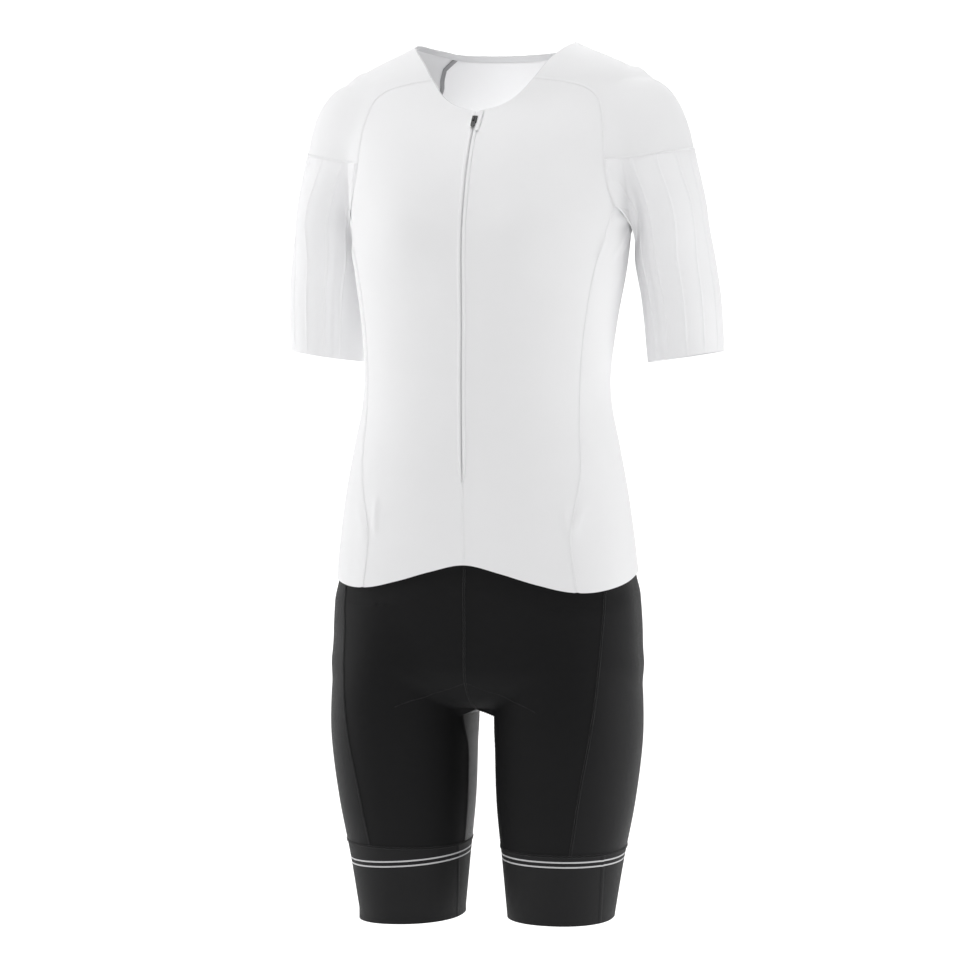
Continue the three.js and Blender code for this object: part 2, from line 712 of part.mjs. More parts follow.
function sleeveGeometry(mirror) {
  const plain = sleeveGrid();
  const grid = insetGrid(mirror ? mirrorGrid(plain) : plain, true);
  const normals = gridNormals(grid, true);
  normals.forEach((row) => row.forEach((n) => n.multiplyScalar(mirror ? 1 : -1)));
  const angles = sleeveAngles();
  const raised = grid.map((row, i) => row.map((p, j) => {
    const full = clamp01(Math.min(i, grid.length - 1 - i));
    return p.clone().addScaledVector(normals[i][j], angles[j].rib ? RIB_HEIGHT * full : 0);
  }));
  return wallGeometry(raised, normals, TOP_WALL, true, grid);
}

// Strips that lie on the flat faces of the front panel's first column, or just under them

const FRONT_GRID = frontPanelGrid();

function panelPoint(x, z) {
  const rows = FRONT_GRID.length - 1;
  const at = (j, i) => FRONT_GRID[i][j];
  let i = 0;
  while (i < rows - 1 && at(0, i + 1).z < z) i += 1;
  const t = (z - at(0, i).z) / (at(0, i + 1).z - at(0, i).z);
  const inner = at(0, i).clone().lerp(at(0, i + 1), t);
  const outer = at(1, i).clone().lerp(at(1, i + 1), t);
  return inner.lerp(outer, (x - inner.x) / (outer.x - inner.x));
}

function stripHeights(lowZ, highZ) {
  const between = MIDDLE_HEIGHTS.filter((z) => z > lowZ + 1 && z < highZ - 1);
  return [lowZ, ...between, highZ];
}

// A strip between two distances from the middle, lifted off the panel's face.
function frontStrip(innerX, outerX, lowZ, highZ, lift, thickness, mirror = false) {
  const grid = stripHeights(lowZ, highZ).map(
    (z) => [panelPoint(innerX(z), z), panelPoint(outerX(z), z)],
  );
  const normals = grid.map((row) => {
    const normal = gradient(torsoField, row[0]);
    return row.map(() => normal.clone());
  });
  const outer = grid.map((row, i) => row.map((p, j) => p.addScaledVector(normals[i][j], lift)));
  const place = (points) => (mirror ? mirrorGrid(points) : points);
  return wallGeometry(place(outer), place(normals), thickness);
}

const weltShare = (z) => clamp01((z - ZIP_END_Z) / ZIP_TAPER);
const weltInner = (z) => lerp(0.2, WELT_INNER, weltShare(z));
const weltOuter = (z) => lerp(1.6, WELT_OUTER, weltShare(z));
const weltGeometry = (mirror) => frontStrip(weltInner, weltOuter, ZIP_END_Z, ZIP_TOP_Z - 2,
  SEAM_GAP + WELT_WALL, WELT_WALL, mirror);
const tapeGeometry = (mirror) => frontStrip(() => 0.3, () => TAPE_WIDTH, ZIP_END_Z - 6,
  ZIP_TOP_Z - 7, -TOP_WALL - SEAM_GAP, TAPE_WALL, mirror);
const garageGeometry = () => frontStrip(() => 3.4, (z) => lerp(6.4, 8.6, clamp01((z + 61) / 20)),
  ZIP_TOP_Z - 20, ZIP_TOP_Z - 1, 2 * SEAM_GAP + WELT_WALL + 1, 1);

// The neck tape lies inside the neck edge, from one side of the zip round to the other.
function neckBindingGeometry() {
  const COLUMNS = 44;
  const START_ANGLE = 8;
  const TAPE_HEIGHT = 6;
  const STANDS_OVER = 1;
  const TAPE_THICKNESS = 1;
  const edge = steps(COLUMNS).map((u) => {
    const angle = lerp(START_ANGLE, 360 - START_ANGLE, u);
    return angle > 180 ? mirrorPoint(neckPoint(360 - angle)) : neckPoint(angle);
  });
  const away = edge.map((p, j) => {
    const run = edge[Math.min(j + 1, COLUMNS)].clone().sub(edge[Math.max(j - 1, 0)]);
    return run.cross(gradient(torsoField, p)).normalize();
  });
  const normals = edge.map((p) => gradient(torsoField, p));
  const outer = [-STANDS_OVER, TAPE_HEIGHT].map((distance) => edge.map(
    (p, j) => p.clone().addScaledVector(away[j], distance)
      .addScaledVector(normals[j], -TOP_WALL - 2 * SEAM_GAP),
  ));
  return wallGeometry(outer, [normals, normals], TAPE_THICKNESS);
}

// Shorts

function shortsLift(p) {
  const angle = Math.abs(torsoAngle(p));
  const below = hemHeight(angle) - p.z;
  return -SHORTS_SINK * (1 - ease((below - 2) / SINK_FADE));
}

const shortsTop = (angle) => hemHeight(Math.abs(angle)) + SHORTS_TUCK;

// Levels of the rows: some above the crotch, one just under it, then down to the leg band
function shortsLevels(topZ) {
  const pelvis = steps(PELVIS_ROWS).map((t) => lerp(topZ, CROTCH_Z, t));
  const thigh = steps(THIGH_ROWS).map((t) => lerp(CROTCH_Z - CROTCH_CORNER, BAND_TOP_Z, t));
  return [...pelvis, ...thigh];
}

const crotchPoint = (y) => {
  const from = new THREE.Vector3(0, y, CROTCH_Z + 26);
  return cast(figureField, from, new THREE.Vector3(0, 0, -1));
};
const CROTCH_FRONT_Y = -80;
const CROTCH_BACK_Y = 0;

// The inner edge of a front or back panel: the middle seam down to the crotch, then the leg.
function innerEdge(front) {
  const middleAngle = front ? 0 : 180;
  const crotchY = front ? CROTCH_FRONT_Y : CROTCH_BACK_Y;
  const legSide = front ? INNER_FRONT_ANGLE : INNER_BACK_ANGLE;
  const crotch = crotchPoint(crotchY);
  const start = legAngle(new THREE.Vector3(0, crotchY, CROTCH_Z));
  return shortsLevels(shortsTop(middleAngle)).map((level, i) => {
    if (i === PELVIS_ROWS) return crotch;
    if (i < PELVIS_ROWS) {
      const z = lerp(shortsTop(middleAngle), crotch.z, i / PELVIS_ROWS);
      return front ? frontPoint(0, z) : backPoint(0, z);
    }
    const share = clamp01((CROTCH_Z - level) / 45);
    return legPoint(lerp(start, legSide, ease(share)), level);
  });
}

function outerEdge(table, pointAt, angleGuess) {
  return shortsLevels(shortsTop(angleGuess)).map((level) => pointAt(table.at(level).x, level));
}

const shortsFrontPoint = (x, z) => {
  const from = new THREE.Vector3(x, LEG_Y, z);
  return cast(figureField, from, new THREE.Vector3(0, -1, 0));
};
const shortsBackPoint = (x, z) => {
  const from = new THREE.Vector3(x, LEG_Y, z);
  return cast(figureField, from, new THREE.Vector3(0, 1, 0));
};

const SHORTS_SEAMS = {
  innerFront: innerEdge(true),
  innerBack: innerEdge(false),
  outerFront: outerEdge(SHORTS_FRONT_SEAM, shortsFrontPoint, 66),
  outerBack: outerEdge(SHORTS_BACK_SEAM, shortsBackPoint, 122),
};

function shortsGrid(first, last, columns, angleOf = legAngle) {
  const angles = [first.map(angleOf), last.map(angleOf)];
  const rows = first.length - 1;
  return first.map((start, i) => steps(columns).map((u, j) => {
    if (j === 0) return start.clone();
    if (j === columns) return last[i].clone();
    const fromTop = 1 - i / rows;
    const angle = lerp(angles[0][i], angles[1][i], u);
    const straight = lerp(first[0].z, last[0].z, u);
    const topAngle = torsoAngle(legPoint(lerp(angles[0][0], angles[1][0], u), straight));
    const bow = fromTop ** 3 * (shortsTop(topAngle) - straight);
    return legPoint(angle, lerp(start.z, last[i].z, u) + bow);
  }));
}

function innerThighGrid() {
  const front = SHORTS_SEAMS.innerFront.slice(PELVIS_ROWS);
  const back = SHORTS_SEAMS.innerBack.slice(PELVIS_ROWS);
  const angles = [front.map(legAngle), back.map(legAngle)];
  const grid = front.map((start, i) => steps(INNER_COLUMNS).map((u, j) => {
    if (j === 0) return start.clone();
    if (j === INNER_COLUMNS) return back[i].clone();
    if (i === 0) return crotchPoint(lerp(CROTCH_FRONT_Y, CROTCH_BACK_Y, u));
    return legPoint(lerp(angles[0][i], angles[1][i], u), start.z);
  }));
  return grid;
}

function bandGeometry(mirror) {
  const grid = steps(BAND_ROWS).map((v) => {
    const z = lerp(BAND_TOP_Z, LEG_HEM_Z, v);
    return steps(BAND_COLUMNS).slice(0, -1).map((u) => legPoint(360 * u, z));
  });
  const placed = insetGrid(mirror ? mirrorGrid(grid) : grid, true);
  const normals = placed.map((row) => row.map((p) => gradient(figureField, p)));
  return wallGeometry(placed, normals, BAND_WALL, true);
}

// Zip slider and pull, in a frame that lies on the cloth: X across, Y up the front, Z outward

const SLIDER = { width: 6, height: 9, low: 1.65, high: 3, stemWidth: 2, stemLow: -1.1, stemHigh: 1.7 };
const BRIDGE = { width: 1.4, post: 1, inner: 3.6, low: 3, clear: 4.4, high: 5.4 };
const PULL = { width: 4.4, hole: 2.4, thick: 0.9, bar: 0.9, holeLength: 3.5, length: 10, lift: 3.7 };

function slideProfile() {
  const half = SLIDER.width / 2;
  const stem = SLIDER.stemWidth / 2;
  const shape = new THREE.Shape();
  shape.moveTo(-stem, SLIDER.stemLow);
  shape.lineTo(stem, SLIDER.stemLow);
  shape.lineTo(stem, SLIDER.low);
  shape.lineTo(half, SLIDER.low);
  shape.lineTo(half - 0.5, SLIDER.high);
  shape.lineTo(-half + 0.5, SLIDER.high);
  shape.lineTo(-half, SLIDER.low);
  shape.lineTo(-stem, SLIDER.low);
  shape.closePath();
  return shape;
}

function sliderGeometry() {
  const geometry = new THREE.ExtrudeGeometry(slideProfile(), {
    depth: SLIDER.height, bevelEnabled: false,
  });
  geometry.rotateX(Math.PI / 2);
  geometry.translate(0, SLIDER.height / 2, 0);
  return geometry;
}

// The bridge that traps the pull: a staple seen from the side, drawn in the plane of Y and Z.
function bridgeGeometry() {
  const outerHalf = BRIDGE.inner / 2 + BRIDGE.post;
  const innerHalf = BRIDGE.inner / 2;
  const foot = BRIDGE.low + 0.3;
  const shape = new THREE.Shape();
  shape.moveTo(-outerHalf, foot);
  shape.lineTo(-innerHalf, foot);
  shape.lineTo(-innerHalf, BRIDGE.clear);
  shape.lineTo(innerHalf, BRIDGE.clear);
  shape.lineTo(innerHalf, foot);
  shape.lineTo(outerHalf, foot);
  shape.lineTo(outerHalf, BRIDGE.high - 0.4);
  shape.lineTo(outerHalf - 0.4, BRIDGE.high);
  shape.lineTo(-outerHalf + 0.4, BRIDGE.high);
  shape.lineTo(-outerHalf, BRIDGE.high - 0.4);
  shape.closePath();
  const geometry = new THREE.ExtrudeGeometry(shape, { depth: BRIDGE.width, bevelEnabled: false });
  geometry.translate(0, 0, -BRIDGE.width / 2);
  geometry.rotateY(Math.PI / 2);
  geometry.rotateX(Math.PI / 2);
  return geometry;
}

// The pull: a small plate with a window, whose upper bar lies under the bridge.
function pullGeometry() {
  const half = PULL.width / 2;
  const hole = PULL.hole / 2;
  const top = PULL.bar / 2;
  const outline = new THREE.Shape();
  outline.moveTo(-half, top);
  outline.lineTo(-half, -PULL.length + 1);
  outline.lineTo(-half + 1, -PULL.length);
  outline.lineTo(half - 1, -PULL.length);
  outline.lineTo(half, -PULL.length + 1);
  outline.lineTo(half, top);
  outline.closePath();
  const window = new THREE.Path();
  window.moveTo(-hole, -PULL.bar / 2);
  window.lineTo(hole, -PULL.bar / 2);
  window.lineTo(hole, -PULL.holeLength);
  window.lineTo(-hole, -PULL.holeLength);
  window.closePath();
  outline.holes.push(window);
  const geometry = new THREE.ExtrudeGeometry(outline, { depth: PULL.thick, bevelEnabled: false });
  geometry.translate(0, 0, -PULL.thick / 2);
  return geometry;
}

function zipGroup(materials) {
  const seat = frontPoint(0, SLIDER_Z);
  const out = gradient(torsoField, seat);
  out.x = 0;
  out.normalize();
  const right = new THREE.Vector3(1, 0, 0);
  const up = out.clone().cross(right).normalize();
  const group = new THREE.Group();
  group.position.copy(seat);
  group.quaternion.setFromRotationMatrix(new THREE.Matrix4().makeBasis(right, up, out));
  group.add(mesh('zip_slider', sliderGeometry(), materials.zipBlack));
  group.add(mesh('zip_slider_bridge', bridgeGeometry(), materials.zipBlack));
  const pull = mesh('zip_pull', pullGeometry(), materials.zipBlack);
  pull.position.z = PULL.lift;
  group.add(pull);
  return group;
}

// Assembly

function clothMaterial(color, roughness) {
  return new THREE.MeshStandardMaterial({ color, roughness, metalness: 0, side: THREE.DoubleSide });
}

function mesh(name, geometry, material) {
  const result = new THREE.Mesh(geometry, material.clone());
  result.name = name;
  return result;
}

function sides(build) {
  return [['left', false], ['right', true]].map(([side, mirror]) => build(side, mirror));
}

function onSide(grid, mirror) {
  return mirror ? mirrorGrid(grid) : grid;
}

function topGroup(materials) {
  const group = new THREE.Group();
  const wall = (grid, mirror) => figureWall(onSide(grid, mirror), torsoField, TOP_WALL);
  const shoulder = shoulderGrid();
  sides((name, mirror) => {
    group.add(mesh(`front_panel_${name}`, wall(FRONT_GRID, mirror), materials.white));
    group.add(mesh(`side_panel_${name}`, wall(SIDE_GRID, mirror), materials.white));
    group.add(mesh(`shoulder_panel_${name}`, figureWall(onSide(shoulder, mirror), figureField,
      TOP_WALL), materials.white));
    group.add(mesh(`sleeve_${name}`, sleeveGeometry(mirror), materials.rib));
    group.add(mesh(`zip_welt_${name}`, weltGeometry(mirror), materials.white));
    group.add(mesh(`zip_tape_${name}`, tapeGeometry(mirror), materials.zipGrey));
  });
  group.add(mesh('back_panel', wall(backPanelGrid(), false), materials.white));
  group.add(mesh('neck_binding', neckBindingGeometry(), materials.binding));
  group.add(mesh('zip_garage', garageGeometry(), materials.white));
  group.add(zipGroup(materials));
  return group;
}

function shortsGroup(materials) {
  const group = new THREE.Group();
  const seams = SHORTS_SEAMS;
  const pieces = {
    shorts_front: shortsGrid(seams.innerFront, seams.outerFront, SHORTS_FRONT_COLUMNS),
    shorts_side: shortsGrid(seams.outerFront, seams.outerBack, SHORTS_SIDE_COLUMNS),
    shorts_back: shortsGrid(seams.outerBack, seams.innerBack, SHORTS_BACK_COLUMNS, backLegAngle),
    shorts_inner: innerThighGrid(),
  };
  sides((name, mirror) => {
    for (const [piece, grid] of Object.entries(pieces)) {
      const geometry = figureWall(onSide(grid, mirror), figureField, SHORTS_WALL, shortsLift);
      group.add(mesh(`${piece}_${name}`, geometry, materials.black));
    }
    group.add(mesh(`leg_band_${name}`, bandGeometry(mirror), materials.band));
  });
  return group;
}

const MATERIALS = {
  white: clothMaterial(WHITE_CLOTH, 0.7),
  rib: clothMaterial(RIB_CLOTH, 0.75),
  binding: clothMaterial(GREY_BINDING, 0.8),
  black: clothMaterial(BLACK_CLOTH, 0.6),
  band: clothMaterial(BAND_CLOTH, 0.7),
  zipGrey: clothMaterial(ZIP_GREY, 0.6),
  zipBlack: clothMaterial(ZIP_BLACK, 0.4),
};

const suit = new THREE.Group();
suit.name = 'triathlon_suit';
suit.add(topGroup(MATERIALS));
suit.add(shortsGroup(MATERIALS));

export default suit;
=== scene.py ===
"""A women's short-sleeved triathlon suit in its worn shape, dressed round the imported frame."""
import json
import logging
import math
from dataclasses import dataclass, field
from enum import Enum
from typing import Any, Callable, Optional, Sequence, Union

import bpy
import numpy as np
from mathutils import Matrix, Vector

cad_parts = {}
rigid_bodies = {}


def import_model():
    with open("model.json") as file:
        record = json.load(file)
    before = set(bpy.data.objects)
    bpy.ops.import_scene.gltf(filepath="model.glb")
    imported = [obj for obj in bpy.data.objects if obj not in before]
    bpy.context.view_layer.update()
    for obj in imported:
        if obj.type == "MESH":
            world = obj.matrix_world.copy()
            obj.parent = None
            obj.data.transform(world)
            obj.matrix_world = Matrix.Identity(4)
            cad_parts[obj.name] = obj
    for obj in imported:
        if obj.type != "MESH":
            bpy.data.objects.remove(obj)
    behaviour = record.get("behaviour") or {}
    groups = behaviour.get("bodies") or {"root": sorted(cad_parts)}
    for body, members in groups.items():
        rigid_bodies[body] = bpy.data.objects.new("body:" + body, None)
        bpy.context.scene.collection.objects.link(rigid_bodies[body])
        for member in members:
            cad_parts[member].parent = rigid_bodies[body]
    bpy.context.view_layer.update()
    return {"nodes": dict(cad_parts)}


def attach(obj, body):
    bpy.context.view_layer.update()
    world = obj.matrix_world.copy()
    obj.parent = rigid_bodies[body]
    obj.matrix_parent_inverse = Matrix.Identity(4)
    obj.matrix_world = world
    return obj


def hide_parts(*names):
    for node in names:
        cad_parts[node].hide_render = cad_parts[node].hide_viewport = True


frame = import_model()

LOG = logging.getLogger("suit")
MM = 0.001
FINE = 8                # rows and columns of the cloth for each one of the frame's own walls
REACH = 330.0           # how far cast looks for a surface, and in what steps
STEP = 5.0
HALVINGS = 16
PROBE = 0.4             # how far apart a field is read for its slope
CLOTH_SHARP = 55        # degrees between faces from which an edge is shaded sharp
STRIP_SHARP = 60

Array = np.ndarray
Field = Callable[[Array], Array]


class Side(Enum):
    """The wearer's left or right half, as the sign of X."""

    LEFT = 1
    RIGHT = -1

    @property
    def word(self) -> str:
        """The side's name as the frame's nodes have it."""
        return self.name.lower()


class Face(Enum):
    """The front or the back of the body, as the sign of Y."""

    FRONT = -1
    BACK = 1


class Held(Enum):
    """How a sheet of cloth is held, in the frame's words."""

    STRETCHED = "stretched"


def lerp(a: Any, b: Any, t: Any) -> Any:
    """A value between a and b."""
    return a + (b - a) * t


def clamp01(t: Any) -> Any:
    """The value held between 0 and 1."""
    return np.clip(t, 0.0, 1.0)


def ease(t: Any) -> Any:
    """A smooth step from 0 to 1."""
    s = clamp01(t)
    return s * s * (3 - 2 * s)


def unit(v: Array) -> Array:
    """Vectors scaled to length one."""
    return v / np.maximum(np.linalg.norm(v, axis=-1, keepdims=True), 1e-12)


def xyz(x: Any, y: Any, z: Any) -> Array:
    """Points from their three coordinates, spread to one shape."""
    return np.stack(np.broadcast_arrays(*(np.asarray(c, float) for c in (x, y, z))), axis=-1)


def turned(angle: Any) -> Array:
    """Level unit vectors from angles in degrees, from the front to the left to the back."""
    a = np.radians(angle)
    return xyz(np.sin(a), -np.cos(a), 0.0)


def round_limb(angle: Any) -> Array:
    """Level unit vectors round a left limb: 0 outward, 90 to the front, 180 inward."""
    a = np.radians(angle)
    return xyz(np.cos(a), -np.sin(a), 0.0)


def fine_steps(count: int, low: float = 0.0, high: float = 1.0) -> Array:
    """Even values from low to high, FINE steps for each one of the frame's own."""
    return np.linspace(low, high, count * FINE + 1)


def run_along(path: Array) -> Array:
    """The distance along a path at each of its points."""
    return np.concatenate([[0], np.linalg.norm(np.diff(path, axis=0), axis=1).cumsum()])


class Table:
    """Rows with named columns, read by the first column with a smooth curve."""

    def __init__(self, columns: str, rows: Sequence[Sequence[float]]) -> None:
        """Keeps the rows and works out their slopes.

        Args:
            columns: the columns' names, with spaces between them.
            rows: the numbers, in any order of the first column.
        """
        self.names = columns.split()
        self.data = np.array(sorted(rows), float)
        place = np.arange(len(self.data))
        low = np.maximum(place - 1, 0)
        high = np.minimum(place + 1, len(place) - 1)
        rise = self.data[high] - self.data[low]
        self.slopes = rise / rise[:, :1]

    def row(self, key: Any) -> dict[str, Array]:
        """All columns at a key.

        Args:
            key: the place, a number or an array.

        Returns:
            One array for each column but the first.
        """
        keys = self.data[:, 0]
        place = np.clip(np.asarray(key, float), keys[0], keys[-1])
        i = np.clip(np.searchsorted(keys, place) - 1, 0, len(keys) - 2)
        span = keys[i + 1] - keys[i]
        t = (place - keys[i]) / span
        t2, t3 = t * t, t * t * t
        result = {}
        for column, name in enumerate(self.names[1:], 1):
            a, b = self.data[i, column], self.data[i + 1, column]
            va, vb = self.slopes[i, column], self.slopes[i + 1, column]
            result[name] = ((2 * t3 - 3 * t2 + 1) * a + (3 * t2 - 2 * t3) * b
                            + (t3 - 2 * t2 + t) * span * va + (t3 - t2) * span * vb)
        return result

    def at(self, key: Any) -> Array:
        """The second column at a key, a number or an array."""
        return self.row(key)[self.names[1]]

    @property
    def last(self) -> float:
        """The highest key."""
        return float(self.data[-1, 0])


# Sections of the figure by height, in millimetres, the same as the frame's solids have
TRUNK = Table("z half front back mid power", [
    [68, 60, 48, 46, -6, 2], [46, 69, 49, 44, -3, 2], [34.5, 83, 50, 44, 0, 2],
    [26, 101, 52, 47, 0, 2], [13, 131, 55, 53, 0, 2], [1, 153, 59, 60, 0, 2],
    [-13, 164, 63, 68, -1, 2], [-38, 167, 74, 80, -4, 2.1], [-70, 158, 90, 90, -10, 2.2],
    [-100, 151, 100, 96, -16, 2.2], [-133, 146, 105, 98, -22, 2.3], [-158, 145, 108, 98, -25, 2.3],
    [-200, 141, 107, 93, -28, 2.3], [-250, 133, 101, 86, -33, 2.3], [-305, 127.5, 96, 84, -39, 2.3],
    [-340, 129.5, 94, 86, -41, 2.3], [-375, 136.5, 92, 90, -42, 2.35],
    [-437, 148, 87, 100, -44, 2.4],
    [-498, 155.5, 82, 110, -45, 2.45], [-560, 160.5, 80, 116, -45, 2.5],
    [-600, 161, 80, 115, -45, 2.5], [-660, 161, 80, 112, -45, 2.5],
])
ARM = Table("z x y half_x half_y", [
    [-6, 149, 0, 43, 42], [-40, 155, 0, 43, 43], [-66, 160, 1, 43.5, 45], [-100, 169, 2, 42, 51],
    [-128, 178.5, 4, 38.5, 54], [-150, 183.6, 5, 36.2, 53], [-165, 184.6, 7, 37.6, 51],
    [-190, 185.6, 10, 41, 47], [-230, 191, 15, 40.6, 43], [-290, 194.5, 22, 39.6, 40],
    [-350, 197, 28, 39, 39],
])
LEG = Table("z x half front back", [
    [-560, 80, 74, 76, 104], [-600, 83, 76, 79, 102], [-640, 87.5, 75, 81, 94],
    [-684, 88, 74.5, 80, 88], [-746, 85, 70, 73, 80], [-807, 82, 61.5, 63, 71],
    [-862, 80, 54.5, 57, 64],
])
LEG_Y = -45.0
PELVIS_CLOSE_Z = -600.0
CROTCH_Z = -653.0
SHOULDER_CLOSE_Z = -64.0
SHOULDER_TOP_Z = -6.0
LEGS_FROM_Z = PELVIS_CLOSE_Z + 60
LEG_TURN_FROM = -120.0
ARM_FADE_Z = -108.0
ARM_FADE = 28.0
CLOSE_FLOOR = 0.003

# Edges and seams, as part of the cut
TOP_HEM = Table("angle z", [
    [-25, -505], [0, -497], [25, -505], [45, -516], [58, -523], [68, -523], [90, -511],
    [120, -503], [180, -498], [240, -503],
])
NECKLINE = Table("angle z", [
    [0, -41], [19, -34], [32, -23], [43, -7], [51, 7], [61, 20], [72, 28.5], [90, 34],
    [112, 31], [127, 27], [150, 25.5], [180, 25],
])
FRONT_RAGLAN_ANGLE = 43.5
BACK_RAGLAN_ANGLE = 127.0
SIDE_FRONT_SEAM = Table("z x", [
    [-138, 139], [-165, 133], [-190, 127], [-247, 117], [-304, 112], [-357, 112.5], [-401, 115],
    [-434, 111], [-466, 106], [-498, 109], [-523, 113],
])
SIDE_BACK_SEAM = Table("z x", [
    [-138, 128], [-190, 116], [-247, 106], [-304, 100], [-357, 102], [-434, 108], [-523, 113],
])
FRONT_ARMHOLE = Table("z x", [[-138, 139], [-125, 135], [-108, 132], [-90, 130]])
BACK_ARMHOLE = Table("z x", [[-138, 128], [-125, 126], [-108, 126], [-90, 128]])
FRONT_RAGLAN = Table("t x z", [
    [0, 130, -90], [0.2, 128.5, -68], [0.4, 125, -45], [0.55, 118, -26], [0.7, 103, -15],
    [0.85, 78, -9],
])
BACK_RAGLAN = Table("t x z", [
    [0, 128, -90], [0.2, 121, -68], [0.45, 98, -38], [0.7, 79, -10], [0.85, 75.5, 3],
    [0.93, 71, 13],
])
SHORTS_FRONT_SEAM = Table("z x", [
    [-510, 140], [-560, 136], [-600, 134.5], [-643, 131], [-684, 125], [-725, 117], [-766, 110],
    [-787, 106],
])
SHORTS_BACK_SEAM = Table("z x", [
    [-500, 128], [-560, 128], [-620, 128], [-684, 121], [-746, 111], [-787, 105],
])
INNER_FRONT_ANGLE = 168.0
INNER_BACK_ANGLE = 214.0

HEM_SIDE_FRONT_Z = -523.0
ARMPIT_FRONT_Z = -138.0
ARMPIT_Z = -142.0
FRONT_ARMPIT_ROW_Z = -130.0
FRONT_RIB_ROW_Z = -95.0
BACK_ARMPIT_ROW_Z = -132.0
BACK_RIB_ROW_Z = -88.0
RIB_SEAM_FRONT_Z = -90.0
RIB_SEAM_OUTER_Z = -77.0
ZIP_TOP_Z = -41.0
ZIP_END_Z = -414.0
ZIP_TAPER = 14.0
ZIP_HALF_GAP = 1.6
BAND_TOP_Z = -790.0
LEG_HEM_Z = -863.0
SLEEVE_HEM_OUTER_Z = -283.0
SLEEVE_HEM_INNER_Z = -295.0
CROTCH_FRONT_Y = -80.0
CROTCH_BACK_Y = 0.0
SHORTS_TUCK = 12.0


